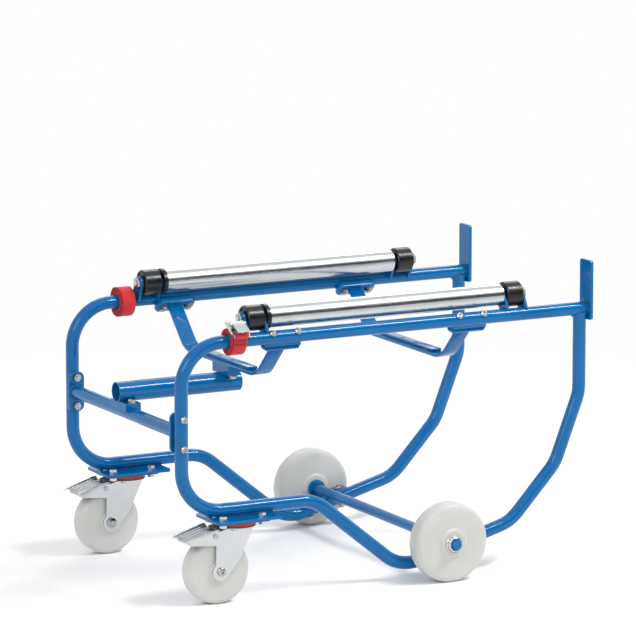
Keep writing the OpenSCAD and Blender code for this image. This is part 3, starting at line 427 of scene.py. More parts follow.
def outline_of(points, fill="NOTHING"):
    """A circle whose points are moved onto an outline."""
    deselect_all()
    bpy.ops.mesh.primitive_circle_add(vertices=len(points), radius=0.01, fill_type=fill)
    obj = bpy.context.object
    for vertex, point in zip(obj.data.vertices, points):
        vertex.co = point
    return obj


def open_outline(obj):
    """Takes away the edge between the last point of an outline and the first."""
    ends = {0, len(obj.data.vertices) - 1}
    edit(obj)
    bpy.ops.mesh.select_mode(type="EDGE")
    bpy.ops.object.mode_set(mode="OBJECT")
    for vertex in obj.data.vertices:
        vertex.select = False
    for line in obj.data.edges:
        line.select = set(line.vertices) == ends
    bpy.ops.object.mode_set(mode="EDIT")
    bpy.ops.mesh.delete(type="EDGE_FACE")
    bpy.ops.mesh.select_mode(type="VERT")
    bpy.ops.object.mode_set(mode="OBJECT")


def plate(outline, along, ease=0.0004):
    """A prism: outline is a list of 3D points, along is the vector to its other face."""
    obj = outline_of(outline, "NGON")
    edit(obj)
    bpy.ops.mesh.extrude_region_move(TRANSFORM_OT_translate={"value": tuple(along)})
    bpy.ops.object.mode_set(mode="OBJECT")
    recalculate(obj)
    if ease:
        ease_edges(obj, ease)
    return obj


def turned_part(profile, centre, axis, steps=72, solid=False):
    """Spins a profile of (radius, along the axis) points round an axis.

    The profile of a ring is closed. That of a solid is open, and its ends lie on the axis.
    """
    way = Vector(axis)
    out = Vector((0, 0, 1)) if abs(way.z) < 0.5 else Vector((1, 0, 0))
    obj = outline_of([Vector(centre) + out * radius + way * along for radius, along in profile])
    if solid:
        open_outline(obj)
    edit(obj)
    bpy.ops.mesh.spin(steps=steps, angle=2 * math.pi, center=centre, axis=axis)
    bpy.ops.object.mode_set(mode="OBJECT")
    recalculate(obj)
    return obj


def drill(obj, place, radius, depth, corners=32, turn=(0, 0, 0)):
    """Cuts a hole with a cylinder, which stands upright unless it is turned."""
    deselect_all()
    bpy.ops.mesh.primitive_cylinder_add(
        vertices=corners, radius=radius, depth=depth, location=place, rotation=turn
    )
    tool = bpy.context.object
    boolean = obj.modifiers.new("cut", "BOOLEAN")
    boolean.object = tool
    boolean.solver = "EXACT"
    apply(obj, boolean)
    bpy.data.objects.remove(tool)


def rod(points, radius, resolution=3, closed=False):
    """A round bar along some points: a curve with a round section, made into a mesh."""
    curve = bpy.data.curves.new("rod", "CURVE")
    curve.dimensions = "3D"
    curve.bevel_depth = radius
    curve.bevel_resolution = resolution
    curve.use_fill_caps = not closed
    spline = curve.splines.new("POLY")
    spline.points.add(len(points) - 1)
    for target, p in zip(spline.points, points):
        target.co = (*p, 1.0)
    spline.use_cyclic_u = closed
    pick(add_to_scene("rod", curve))
    bpy.ops.object.convert(target="MESH")
    return bpy.context.object


def join(name, objects):
    pick(*objects)
    if len(objects) > 1:
        bpy.ops.object.join()
    obj = bpy.context.object
    obj.name = name
    return obj


def finish_piece(obj, material, body, replaced=None, all_smooth=False):
    """Shades a piece, keeping edges of over 40 degrees sharp, and puts it on its body."""
    if all_smooth:
        smooth(obj)
    else:
        pick(obj)
        bpy.ops.object.shade_smooth_by_angle(angle=math.radians(40))
    wear(obj, material)
    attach(obj, body)
    if replaced:
        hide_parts(replaced)


def fillet(corner, start, end, radius, steps=5):
    """Points of an arc that rounds a corner between two neighbours."""
    corner, start, end = Vector(corner), Vector(start), Vector(end)
    a, b = (start - corner).normalized(), (end - corner).normalized()
    half = a.angle(b) / 2
    middle = corner + (a + b).normalized() * (radius / math.sin(half))
    first = corner + a * (radius / math.tan(half)) - middle
    last = corner + b * (radius / math.tan(half)) - middle
    return [middle + first.slerp(last, k / steps) * radius for k in range(steps + 1)]


def polar(r, a, centre=(0.0, 0.0)):
    return (centre[0] + r * math.cos(a), centre[1] + r * math.sin(a))


# %% [markdown]
# The wheels. A cast nylon wheel is turned from a blank, so it is a body of revolution with
# large soft shoulders and almost flat flanks. The profile is drawn for one half, from the
# bore out to the tread, and mirrored. Its few sharp corners get small fillets.

# %% Turned nylon wheels
def rounded_profile(corners, steps=6):
    """corners are (radius, along, fillet) triples of a closed profile."""
    points = []
    for i, (r, a, ease) in enumerate(corners):
        before, after = corners[i - 1], corners[(i + 1) % len(corners)]
        if ease:
            arc = fillet((r, a, 0), (*before[:2], 0), (*after[:2], 0), ease, steps)
            points += [(p.x, p.y) for p in arc]
        else:
            points.append((r, a))
    return points


def make_wheel(name, bore, hub_r, hub_over, dish, shoulder):
    """hub_over is how far the hub stands over the flank, and dish how deep the flank is."""
    low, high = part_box(name)
    radius, hub_half = (high.x - low.x) / 2, (high.y - low.y) / 2
    half = hub_half - hub_over
    upper = [
        (bore, hub_half, 0), (hub_r, hub_half, 0.0024), (hub_r + 0.0035, half - dish, 0.005),
        (radius * 0.82, half, 0.05), (radius, half, shoulder),
    ]
    corners = upper + [(r, -a, ease) for r, a, ease in reversed(upper)]
    return turned_part(rounded_profile(corners), centre_of(name), (0, 1, 0), 96)


wheel_sizes = {
    "castor": dict(bore=0.00605, hub_r=0.017, hub_over=0.0031, dish=0.0006, shoulder=0.0095),
    "rear": dict(bore=0.01005, hub_r=0.025, hub_over=0.0030, dish=0.0005, shoulder=0.0100),
}
for side_name in SIDES:
    for kind, sizes in wheel_sizes.items():
        name = kind + "_wheel_" + side_name
        wheel = make_wheel(name, **sizes)
        wheel.name = kind + "_tyre_" + side_name
        finish_piece(wheel, nodes[name].data.materials[0], name, name)
print("turned four wheels")

# %% [markdown]
# The push-on caps. Each rear wheel is kept on by a sprung zinc cap: a thin flange against
# the hub, and a crown whose teeth bite the axle. It is spun from one profile, and the
# teeth are cut by pushing every other group of points of the crown inwards.

# %% Caps on the axle
cap_seat = 0.3016
crown_from = 0.0040
teeth = 8
bite = 0.06
cap_profile = [
    (0.0102, 0.0006), (0.0170, 0.0), (0.0173, 0.0008), (0.0168, 0.0018), (0.0156, 0.0028),
    (0.0151, 0.0058), (0.0140, 0.0080), (0.0122, 0.0088), (0.0104, 0.0078),
]
axle_centre = centre_of("rear_axle")
caps = []
for side in (LEFT, RIGHT):
    centre = Vector((axle_centre.x, side * cap_seat, axle_centre.z))
    cap = turned_part(cap_profile, centre, (0, side, 0), 64)
    for vertex in cap.data.vertices:
        x, y, z = vertex.co - centre
        if abs(y) > crown_from:
            share = 1 - bite * (0.5 + 0.5 * math.cos(teeth * math.atan2(z, x))) ** 4
            vertex.co = centre + Vector((x * share, y, z * share))
    caps.append(cap)
finish_piece(join("axle_push_caps", caps), zinc, "frame", "wheel_caps")

# %% [markdown]
# The castor's axle bolt has a small domed head with a hexagon socket on the outer side and
# a lock nut on the inner side. The bolt is spun from an open profile that starts and ends
# on the axis, and its socket is a short hexagonal cylinder cut out of the head.

# %% Axle bolts of the castors
cheek_out = 0.0256
socket_drill_r = 0.0034
for side_name, side in SIDES.items():
    low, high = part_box("castor_axle_" + side_name)
    hub = centre_of("castor_wheel_" + side_name)
    head_top = abs((high.y if side > 0 else low.y) - hub.y)
    nut_end = -abs(hub.y - (low.y if side > 0 else high.y))
    profile = [
        (0.0, head_top), (0.0048, head_top - 0.0001), (0.0068, head_top - 0.0010),
        (0.0082, head_top - 0.0026), (0.0087, cheek_out + 0.0005), (0.0087, cheek_out),
        (0.0060, cheek_out), (0.0060, -cheek_out), (0.0098, -cheek_out),
        (0.0098, nut_end + 0.0020), (0.0062, nut_end + 0.0002), (0.0, nut_end),
    ]
    bolt = turned_part(profile, hub, (0, side, 0), 48, solid=True)
    socket = (hub.x, hub.y + side * head_top, hub.z)
    drill(bolt, socket, socket_drill_r, 0.006, 6, (math.pi / 2, 0, 0))
    bolt.name = "axle_bolt_" + side_name
    finish_piece(bolt, bolt_zinc, "fork_" + side_name, "castor_axle_" + side_name)

# %% [markdown]
# The nuts of the socket. Two studs hold its saddle on the cross tube, with a washer and a
# nut each, and two bolts with nuts hang its rear bracket from the front bearer. This piece
# is only the washers and nuts, without the studs and bolts themselves. A washer is spun
# from a profile, and a nut is a hexagonal plate.

# %% Nuts of the socket
bolt_pitch = 0.052
nut_r = 0.0075
nut_h = 0.0065
washer_t = 0.0013
bracket_nut_z = 0.3704


def hex_nut(centre):
    """A nut whose lower face is at centre. Its corners are eased."""
    corners = [
        Vector(centre) + Vector((nut_r * math.cos(a), nut_r * math.sin(a), 0))
        for a in [math.radians(60 * k) for k in range(6)]
    ]
    return plate(corners, (0, 0, nut_h), 0.0007)


saddle_x = centre_of("cross_tube").x
bearer_x = centre_of("bearer_front").x
saddle_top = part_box("socket_bolts")[0].z + 0.0420
washer_profile = [(0.0042, 0.0), (0.0080, 0.0), (0.0080, washer_t), (0.0042, washer_t)]
nuts = []
for y in (-bolt_pitch / 2, bolt_pitch / 2):
    nuts += [
        turned_part(washer_profile, (saddle_x, y, saddle_top), (0, 0, 1), 32),
        hex_nut((saddle_x, y, saddle_top + washer_t)),
        hex_nut((bearer_x, y, bracket_nut_z)),
    ]
finish_piece(join("saddle_bolts", nuts), bolt_zinc, "frame", "socket_bolts")
print("fitted the socket's nuts")

# %% [markdown]
# The brake pedals. A pedal is pressed from sheet: a tread with ribs along it, an apron
# turned down at the front, a rolled rail on both sides and two arms that go down to the
# hinge pin. The fork's cheeks rise between the tread and the rails when the pedal is
# pressed, so a slot is left there. Thin dark sheets laid in the grooves between the ribs
# paint the shade that falls there.
# A small tab at the front lifts the brake again. The pedal is drawn in the castor's own
# plane, measured from the swivel axis forwards and from the floor up.

# %% Sizes of the pedals
swivel_x = -0.2995
sheet = 0.0016
tread = [(-0.1112, 0.1246), (-0.0590, 0.1396), (-0.0512, 0.1410)]
tread_half_w = 0.0217
lip_end = (-0.1046, 0.1265)
lip_half_w = 0.0275
apron_foot = (-0.1032, 0.1160)
top_line = [(-0.111, 0.1268), (-0.0585, 0.1418), (-0.0512, 0.1430)]
rib_r = 0.0030
rib_drop = 0.0018
rail_r = 0.0022
rail_out = 0.0280
flange_in = 0.0273
flange_t = 0.0018
arm_in = 0.0197
arm_t = 0.0024
eye_at = (-0.053, 0.130)
eye_out_r = 0.0065
tab_z = 0.1262
groove = [(-0.1075, 0.1260), (-0.0600, 0.1397)]
shoulder_line = [(-0.0430, 0.1388), (-0.0300, 0.1424), (0.0200, 0.1428), (0.0225, 0.1400)]
shoulder_out = 0.0262
shoulder_r = 0.0014


# %% Brake pedals
def on_castor(side, points, across):
    """Places (forwards, up) points of the castor's own plane, this far across."""
    return [Vector((swivel_x + x, side * rail_y + across, z)) for x, z in points]


def sheet_between(side, a, b, half_w, thick, across=0.0):
    """A flat piece of sheet whose upper face runs from a to b in the castor's plane."""
    run = Vector((b[0] - a[0], b[1] - a[1])).normalized()
    down = (run.y * thick, -run.x * thick)
    corners = [a, b, (b[0] + down[0], b[1] + down[1]), (a[0] + down[0], a[1] + down[1])]
    outline = on_castor(side, corners, across - half_w)
    return plate(outline, (0, 2 * half_w, 0), min(0.0003, thick / 4))


def side_plate(side, way, points, inner, thick, ease):
    """An upright plate, whose inner face is this far to one way of the pedal's middle."""
    start = inner if way > 0 else -inner - thick
    return plate(on_castor(side, points, start), (0, thick, 0), ease)


def make_pedal(side):
    front, bend = top_line[:2]
    parts = [
        sheet_between(side, tread[0], tread[1], tread_half_w, sheet),
        sheet_between(side, tread[1], tread[2], tread_half_w, sheet),
        sheet_between(side, tread[0], lip_end, lip_half_w, sheet),
        sheet_between(side, apron_foot, front, lip_half_w, sheet),
    ]
    rib = [
        (front[0] + (bend[0] - front[0]) * s, front[1] + (bend[1] - front[1]) * s - rib_drop)
        for s in (0.06, 0.94)
    ]
    for across in (-0.0165, -0.0055, 0.0055, 0.0165):
        parts.append(rod(on_castor(side, rib, across), rib_r))
    flange = [
        *top_line, (-0.0482, 0.1382), (-0.0620, 0.1345), (-0.0800, 0.1270), (-0.0930, 0.1190),
        apron_foot,
    ]
    rail = [(-0.1108, 0.1256), *top_line, (-0.0490, 0.1420)]
    arm = [(-0.0595, 0.1400), (-0.0500, 0.1425)]
    arm += [polar(eye_out_r, math.radians(20 - 25 * k), eye_at) for k in range(9)]
    for way in (-1, 1):
        parts.append(side_plate(side, way, flange, flange_in, flange_t, 0.0004))
        parts.append(rod(on_castor(side, rail, way * rail_out), rail_r))
        parts.append(side_plate(side, way, arm, arm_in, arm_t, 0))
    tab = [
        (-0.1090, 0.010), (-0.1190, 0.010), (-0.1215, 0.013), (-0.1215, 0.022),
        (-0.1190, 0.025), (-0.1090, 0.025),
    ]
    outline = [on_castor(side, [(x, tab_z)], y)[0] for x, y in tab]
    parts.append(plate(outline, (0, 0, -0.0015), 0.0004))
    return parts


# A near-black finish for the thin sheets in the pedal's grooves: painted shade between the ribs.
groove_shade = make_moulded("painted_shade_in_grooves", "303234", "45484a", 0.45, 500.0)
for side_name, side in SIDES.items():
    body = "brake_pedal_" + side_name
    pedal = join("pedal_" + side_name, make_pedal(side))
    finish_piece(pedal, zinc, body, body)
    grooves = join("pedal_grooves_" + side_name, [
        sheet_between(side, *groove, half_w, 0.0008, across)
        for across, half_w in (
            (-0.0205, 0.0010), (-0.0110, 0.0019), (0.0, 0.0019), (0.0110, 0.0019), (0.0205, 0.0010),
        )
    ])
    finish_piece(grooves, groove_shade, body)
    shoulders = join("fork_shoulders_" + side_name, [
        rod(on_castor(side, shoulder_line, way * shoulder_out), shoulder_r) for way in (-1, 1)
    ])
    finish_piece(shoulders, zinc, "fork_" + side_name)
print("pressed two pedals")

# %% [markdown]
# The bearers. A bearer is a flat bar, bent up at both ends, with a strip along its top and
# a pad at each end that is bolted under the rail. The bar is a section that is swept along
# a centreline with two wide arcs, so it starts as a plate drawn from the side: the
# centreline pushed out by half the bar's thickness to both sides. The rear bearer is the
# same part as the front one, so its two middle holes are open.

# %% Bearers
bar_half_w = 0.0150
bar_half_t = 0.00275
bar_bend_r = 0.060
strip_x = (-0.0075, 0.0125)
strip_half_len = 0.104
strip_t = 0.0055
pad_out = 0.0219
hole_r = 0.0042


def bar_centreline(height):
    """Half of the bar in Y and Z, from the middle out to the pad under the right rail."""
    middle = Vector((0, height, 0))
    corner = Vector((rail_y - (rail_z - height), height, 0))
    arm_end = Vector((rail_y, rail_z, 0)) - Vector((1, 1, 0)).normalized() * pad_out
    return [middle, *fillet(corner, middle, arm_end, bar_bend_r, 10), arm_end]


def offset_line(line, distance):
    moved = []
    for i, p in enumerate(line):
        run = (line[min(i + 1, len(line) - 1)] - line[max(i - 1, 0)]).normalized()
        moved.append(p + Vector((-run.y, run.x, 0)) * distance)
    return moved


def make_pad(middle, side, half_len, half_w, chamfer, near, far):
    """A plate with its corners cut off, between two distances from the rail's centreline."""
    down = Vector((0, -side, -1)).normalized()
    across = Vector((0, -side, 1)).normalized()
    rail = Vector((middle, side * rail_y, rail_z))
    corners = [
        (-half_len, half_w - chamfer), (chamfer - half_len, half_w),
        (half_len - chamfer, half_w), (half_len, half_w - chamfer),
    ]
    corners += [(-x, -a) for x, a in corners]
    outline = [rail + Vector((x, 0, 0)) + across * a + down * near for x, a in corners]
    return plate(outline, down * (far - near), 0.0005)


def make_bearer(name):
    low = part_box(name)[0]
    middle = centre_of(name).x
    height = low.z + bar_half_t
    half = bar_centreline(height)
    whole = [Vector((-p.x, p.y, 0)) for p in reversed(half[1:])] + half
    edge = offset_line(whole, bar_half_t) + list(reversed(offset_line(whole, -bar_half_t)))
    outline = [Vector((middle - bar_half_w, p.x, p.y)) for p in edge]
    bar = plate(outline, (2 * bar_half_w, 0, 0), 0.0007)
    top = height + bar_half_t
    strip = plate([
        Vector((middle + strip_x[i], j * strip_half_len, top))
        for i, j in ((0, -1), (1, -1), (1, 1), (0, 1))
    ], (0, 0, strip_t), 0.0009)
    for part in (bar, strip):
        for y in (-bolt_pitch / 2, bolt_pitch / 2):
            drill(part, (middle, y, top), hole_r, 0.04)
    parts = [bar, strip]
    for side in (LEFT, RIGHT):
        parts.append(make_pad(middle, side, 0.040, 0.0150, 0.0075, pad_out - 0.005, pad_out))
        parts.append(make_pad(middle, side, 0.0375, 0.0120, 0.0045, 0.0045, pad_out - 0.004))
    return join(name.replace("bearer", "bearer_bar"), parts)


for name in ("bearer_front", "bearer_rear"):
    finish_piece(make_bearer(name), powder_coat, "frame", name)
print("bent two bearers")

# %% [markdown]
# The strap. On the real tipper a red polyester strap is looped round each rail and buckled
# over the load. Here it is stored: each half is wound round its own rail, as it is when the
# tipper stands empty. Webbing is a flat band, so its centreline is drawn first, in the
# plane square to the rail, and a thin section with rounded edges is swept along it.

# %% Sizes of the strap
strap_x = -0.3025
webbing_w = 0.027
webbing_t = 0.0016
roll_pitch = 0.0022
roll_start_r = tube_r + 0.00035 + webbing_t / 2
buckle_angle = math.radians(58)
bar_back = 0.020
bar_up = 0.005
bar_d = 0.005
eye_r = bar_d / 2 + 0.0003 + webbing_t / 2


def turned(points, angle):
    c, s = math.cos(angle), math.sin(angle)
    return [(x * c - y * s, x * s + y * c) for x, y in points]


def roll_line(length):
    """Centreline of a roll, from the rail outwards. Its outer end lies on the x axis."""
    outer_r = math.sqrt(roll_start_r ** 2 + length * roll_pitch / math.pi)
    turns = (outer_r - roll_start_r) / roll_pitch
    steps = round(turns * 64)
    return [
        polar(roll_start_r + roll_pitch * turns * i / steps, 2 * math.pi * turns * (i / steps - 1))
        for i in range(steps + 1)
    ]


def path_length(points):
    return sum(math.dist(a, b) for a, b in zip(points, points[1:]))


# %% [markdown]
# The half with the buckle leaves the roll in a straight line, goes round the buckle's rear
# bar and comes back on itself, where the two plies are sewn together. The end that comes
# back is drawn with an arc round the bar, a short straight down to the first ply, and a
# last stretch flat against it.

# %% Centrelines
def buckle_half():
    line = roll_line(0.650)
    middle_r = line[-1][0]
    roll_r = middle_r + webbing_t / 2
    reach = math.hypot(bar_back, roll_r + bar_up)
    leave = math.acos((middle_r + eye_r) / reach)
    leave_len = reach * math.sin(leave)
    centre = (middle_r + eye_r, leave_len)
    line += [(middle_r, leave_len * k / 12) for k in range(1, 12)]
    wrap = math.radians(222)
    line += [polar(eye_r, math.pi - wrap * k / 20, centre) for k in range(21)]
    ply_x = middle_r + webbing_t + 0.0001
    start = line[-1]
    meet = (ply_x, leave_len - 0.0085)
    line += [
        (start[0] + (meet[0] - start[0]) * math.sin(k * math.pi / 16),
         start[1] + (meet[1] - start[1]) * (k / 8) ** 1.15)
        for k in range(1, 9)
    ]
    line += [(ply_x, meet[1] - 0.011 * k / 8) for k in range(1, 9)]
    angle = buckle_angle - math.atan(bar_back / (roll_r + bar_up)) - leave
    return turned(line, angle), angle, ply_x, leave_len


left_line, left_angle, ply_x, eye_up = buckle_half()
right_line = turned(roll_line(0.940), buckle_angle)
print("strap halves", round(path_length(left_line), 3), round(path_length(right_line), 3), "m")


def to_rail(side, x, y, along=0.0):
    """A point of the strap's plane in the row frame: x outwards, y up, along the rail."""
    return Vector((strap_x + along, side * (rail_y + x), rail_z + y))


# %% [markdown]
# The sweep. Each ring of the band has fourteen points: seven on the outer face and seven on
# the inner one, thinner at the two edges, as a woven edge is. A slow drift along the rail
# keeps the turns from lying perfectly flush, because nobody rolls a strap that neatly. The
# UV map holds real millimetres, so the weave can follow the band round every turn.

# %% Sweep the webbing
across = [-1.0, -0.93, -0.5, 0.0, 0.5, 0.93, 1.0]
half_thick = [0.30, 0.92, 1.0, 1.0, 1.0, 0.92, 0.30]
half_w_mm = webbing_w * 500


def sweep_webbing(name, side, line):
    n = len(line)
    lengths = [0.0]
    for a, b in zip(line, line[1:]):
        lengths.append(lengths[-1] + math.dist(a, b))
    section = [(u, t, 1) for u, t in zip(across, half_thick)]
    section += [(u, t, -1) for u, t in zip(reversed(across), reversed(half_thick))]
    ring = len(section)
    verts, faces, uvs = [], [], []
    for i, (x, y) in enumerate(line):
        before, after = line[max(i - 1, 0)], line[min(i + 1, n - 1)]
        run = math.dist(before, after)
        nx, ny = (after[1] - before[1]) / run, -(after[0] - before[0]) / run
        drift = 0.0006 * math.sin(lengths[i] * 41) + 0.0003 * math.sin(lengths[i] * 97 + 1)
        for u, t, face in section:
            thick = face * t * webbing_t / 2
            verts.append(to_rail(side, x + nx * thick, y + ny * thick, u * webbing_w / 2 + drift))
    for i in range(n - 1):
        v0, v1 = lengths[i] * 1000, lengths[i + 1] * 1000
        for k in range(ring):
            m = (k + 1) % ring
            faces.append((i * ring + k, i * ring + m, (i + 1) * ring + m, (i + 1) * ring + k))
            u0, u1 = section[k][0] * half_w_mm, section[m][0] * half_w_mm
            uvs += [(u0, v0), (u1, v0), (u1, v1), (u0, v1)]
    for end, flip in ((0, False), (n - 1, True)):
        for k in range(ring // 2 - 1):
            quad = [k, k + 1, ring - 2 - k, ring - 1 - k]
            quad = quad if flip else quad[::-1]
            faces.append(tuple(end * ring + q for q in quad))
            uvs += [(section[q][0] * half_w_mm, lengths[end] * 1000) for q in quad]
    mesh = bpy.data.meshes.new(name)
    mesh.from_pydata(verts, [], faces)
    layer = mesh.uv_layers.new(name="webbing_mm")
    for loop, uv in zip(layer.data, uvs):
        loop.uv = uv
    obj = add_to_scene(name, mesh)
    recalculate(obj)
    return obj


# %% [markdown]
# The weave. Strap webbing shows fine ribs along its length, crossed by the weft. Two sines
# of the UV map in millimetres give ribs and weft. Their product, added to the ribs' own
# height, is the height of the yarn. The same height also paints shade into the gaps
# between yarns, darker where the yarn is low. The woven edges are a deeper red, the sealed
# tip is darker, and sheen gives polyester its soft shine.

# %% Webbing material
def make_webbing(name, light, dark, tip_colour, length_mm):
    f = Finish(name)
    f.set(Sheen_Weight=0.25, Sheen_Roughness=0.4, Specular_IOR_Level=0.35)
    uv = f.add("ShaderNodeUVMap", uv_map="webbing_mm").outputs["UV"]
    split = f.add("ShaderNodeSeparateXYZ", {"Vector": uv})
    u, v = split.outputs["X"], split.outputs["Y"]
    rib = f.math("SINE", f.math("MULTIPLY", u, 2 * math.pi / 1.5))
    weft = f.math("SINE", f.math("MULTIPLY", v, 2 * math.pi / 1.9))
    crossings = f.math("MULTIPLY", rib, weft)
    ribs = f.math("MULTIPLY", f.math("ABSOLUTE", rib), 0.8)
    yarn = f.math("ADD", crossings, ribs)
    # The yarn's height sets the colour here: painted shade in the gaps between yarns.
    body = f.mix(f.range(yarn, 0.0, 1.0, -0.9, 1.5), dark, light)
    edge = f.range(f.math("ABSOLUTE", u), 0.0, 0.6, 11.3, 12.6)
    tip = f.range(v, 0.0, 0.75, length_mm - 3.5, length_mm - 1.5)
    f.set(Base_Color=f.mix(tip, f.mix(edge, body, dark), tip_colour))
    f.set(Roughness=f.range(f.noise(900.0, 2.0), 0.55, 0.75, 0.3, 0.7))
    f.set(Normal=f.bump(yarn, 0.00016, 0.8))
    return f.material


strap_colours = srgb("e2262c"), srgb("a81319"), srgb("6d1216")
for name, side, line in (("left", LEFT, left_line), ("right", RIGHT, right_line)):
    strap = sweep_webbing("strap_webbing_" + name, side, line)
    length = path_length(line)
    webbing = make_webbing("red_webbing_" + name, *strap_colours, length * 1000)
    finish_piece(strap, webbing, "frame", "strap_" + name, all_smooth=True)

# %% [markdown]
# Sewing. The doubled end is held by rows of lockstitch in dark thread. One stitch is a
# small ball that is stretched into a grain and pressed flat. The rest are copies of it, in
# a box with a zigzag, joined into one piece.

# %% Stitches
def one_stitch():
    deselect_all()
    bpy.ops.mesh.primitive_uv_sphere_add(segments=8, ring_count=6, radius=1.0)
    stitch = bpy.context.object
    edit(stitch)
    bpy.ops.transform.resize(value=(0.00095, 0.00032, 0.00028))
    bpy.ops.object.mode_set(mode="OBJECT")
    return stitch


def lay_stitch(pattern, side, out_x, start, end, angle):
    """A copy of the stitch from start to end, both (along the rail, up the strap)."""
    middle = [(a + b) / 2 for a, b in zip(start, end)]
    along = Vector((end[0] - start[0], end[1] - start[1])).normalized()
    copy = add_to_scene("stitch", pattern.data.copy())
    for vertex in copy.data.vertices:
        x, y, z = vertex.co
        rail_way = middle[0] + along.x * x - along.y * y
        strap_way = middle[1] + along.y * x + along.x * y
        vertex.co = to_rail(side, *turned([(out_x + z, strap_way)], angle)[0], rail_way)
    return copy


def row_of(points, pitch=0.0024):
    """Stitch ends along a line of corners."""
    found = []
    for a, b in zip(points, points[1:]):
        count = max(1, round(math.dist(a, b) / pitch))
        for k in range(count):
            found.append(tuple(
                tuple(p + (q - p) * share for p, q in zip(a, b))
                for share in ((k + 0.08) / count, (k + 0.92) / count)
            ))
    return found


sew_top = eye_up - 0.0100
sew_low = eye_up - 0.0182
sew_side = 0.0105
box = [
    (-sew_side, sew_low), (sew_side, sew_low), (sew_side, sew_top),
    (-sew_side, sew_top), (-sew_side, sew_low),
]
zigzag = [
    (-sew_side + 2 * sew_side * k / 6, sew_low if k % 2 == 0 else sew_top) for k in range(7)
]
pattern = one_stitch()
stitches = [
    lay_stitch(pattern, LEFT, ply_x + webbing_t / 2 + 0.0001, a, b, left_angle)
    for a, b in row_of(box) + row_of(zigzag)
]
bpy.data.objects.remove(pattern)
print("stitches", len(stitches))
sewing = join("strap_stitches", stitches)
recalculate(sewing)
thread = make_moulded("dark_thread", "3a1014", "55181c", 0.6, 900.0)
finish_piece(sewing, thread, "frame", all_smooth=True)

# %% [markdown]
# Weld beads. The frame is welded, and each seam shows as a small rippled bead under the
# paint. A bead starts as a curve along the seam with a round section. Once it is a mesh,
# every point moves out or in with a sine of its distance along the seam, which gives the
# ripples, and an open bead narrows to its ends as the arc dies away.

# %% Make a weld bead
bead_step = 0.0005
ripple = 0.0017


def resample(points, closed):
    loop = points + points[:1] if closed else points
    total = path_length([tuple(p) for p in loop])
    count = max(6, round(total / bead_step))
    out, k, walked = [], 0, 0.0
    for i in range(count if closed else count + 1):
        target = total * i / count
        while k < len(loop) - 2 and walked + (loop[k + 1] - loop[k]).length < target:
            walked += (loop[k + 1] - loop[k]).length
            k += 1
        step = loop[k + 1] - loop[k]
        out.append(loop[k] + step * min(1.0, (target - walked) / step.length))
    return out, total / count


def bead(points, radius, closed=False):
    points, step = resample(points, closed)
    obj = rod(points, radius, 1, closed)
    tree = KDTree(len(points))
    for i, p in enumerate(points):
        tree.insert(p, i)
    tree.balance()
    turns = max(1, round(step * len(points) / ripple))
    for vertex in obj.data.vertices:
        near, index, _ = tree.find(vertex.co)
        swell = 1 + 0.13 * math.sin(2 * math.pi * turns * index / len(points))
        if not closed:
            from_end = min(index, len(points) - 1 - index) * step
            swell *= min(1.0, 0.45 + 0.55 * math.sqrt(from_end / (1.5 * radius)))
        vertex.co = near + (vertex.co - near) * swell
    return obj


def seam(name, beads):
    """Makes one painted piece of several beads, which rides on the frame."""
    piece = join("weld_" + name, beads)
    recalculate(piece)
    finish_piece(piece, weld_coat, "frame", all_smooth=True)


def along_x(x_from, x_to, y, z):
    return [Vector((x_from, y, z)), Vector((x_to, y, z))]


def arc_points(centre, axis, radius, start=0.0, end=360.0, steps=48):
    """Points of an arc round X or Y. Angles run from outwards Y, or X, up to Z."""
    found = []
    for k in range(steps if end - start >= 360 else steps + 1):
        a = math.radians(start + (end - start) * k / steps)
        flat, up = radius * math.cos(a), radius * math.sin(a)
        turn = Vector((0, flat, up)) if axis == "X" else Vector((flat, 0, up))
        found.append(Vector(centre) + turn)
    return found


# %% [markdown]
# Where the seams are. Most of their places come from the boxes of the pieces they join.
# The stop bars are welded round the rails' ends, each roller lug along both its faces, the
# castor plates along the tubes that stand on them, each rear leg under its rail, and the
# cross tube into its end plates.

# %% Beads of the side frames
lug_tilt = math.degrees(math.atan2(0.019, 0.036))
lug_t = 0.005
lug_half_arc = 66
face_gap = 0.0005
mount_seam_y = 0.0062
rear_leg_x = 0.4285
cross_tube_x, cross_tube_z = -0.4095, 0.3225
cross_plate_y = rail_y - tube_r - 0.0051


def saddle_line(side):
    """Where the rear leg's tube meets the underside of the rail's tube."""
    line = []
    for k in range(72):
        a = 2 * math.pi * k / 72
        along, out = (tube_r + 0.0020) * math.cos(a), (tube_r - 0.0002) * math.sin(a)
        dip = math.sqrt(max(0.0, tube_r ** 2 - out ** 2)) + 0.0004
        line.append(Vector((rear_leg_x + along, side * rail_y + out, rail_z - dip)))
    return line


for name, side in SIDES.items():
    y = side * rail_y
    rail_end = (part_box("drum_stop_" + name)[0].x - 0.0004, y, rail_z)
    seam("stop_" + name, [bead(arc_points(rail_end, "X", tube_r + 0.0002), 0.0020, True)])

    lugs_low, lugs_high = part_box("roller_lugs_" + name)
    inner_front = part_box("end_roller_front_" + name)[1].x + face_gap
    inner_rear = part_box("end_roller_rear_" + name)[0].x - face_gap - lug_t
    lean = 90 + side * lug_tilt
    arc = (lean - lug_half_arc, lean + lug_half_arc, 24)
    seam("lugs_" + name, [
        bead(arc_points((face, y, rail_z), "X", tube_r + 0.0007, *arc), 0.0017)
        for x in (lugs_low.x, inner_front, inner_rear, lugs_high.x - lug_t)
        for face in (x - face_gap, x + lug_t + face_gap)
    ])

    low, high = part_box("castor_mount_" + name)
    ends = (low.x + 0.038, high.x - 0.002)
    seam("castor_plate_" + name, [
        bead(along_x(*ends, y + way * mount_seam_y, high.z + 0.0012), 0.0023) for way in (-1, 1)
    ])

    seam("rear_leg_" + name, [bead(saddle_line(side), 0.0024, True)])

    centre = (cross_tube_x, side * cross_plate_y, cross_tube_z)
    seam("cross_tube_" + name, [bead(arc_points(centre, "Y", tube_r + 0.0006), 0.0025, True)])

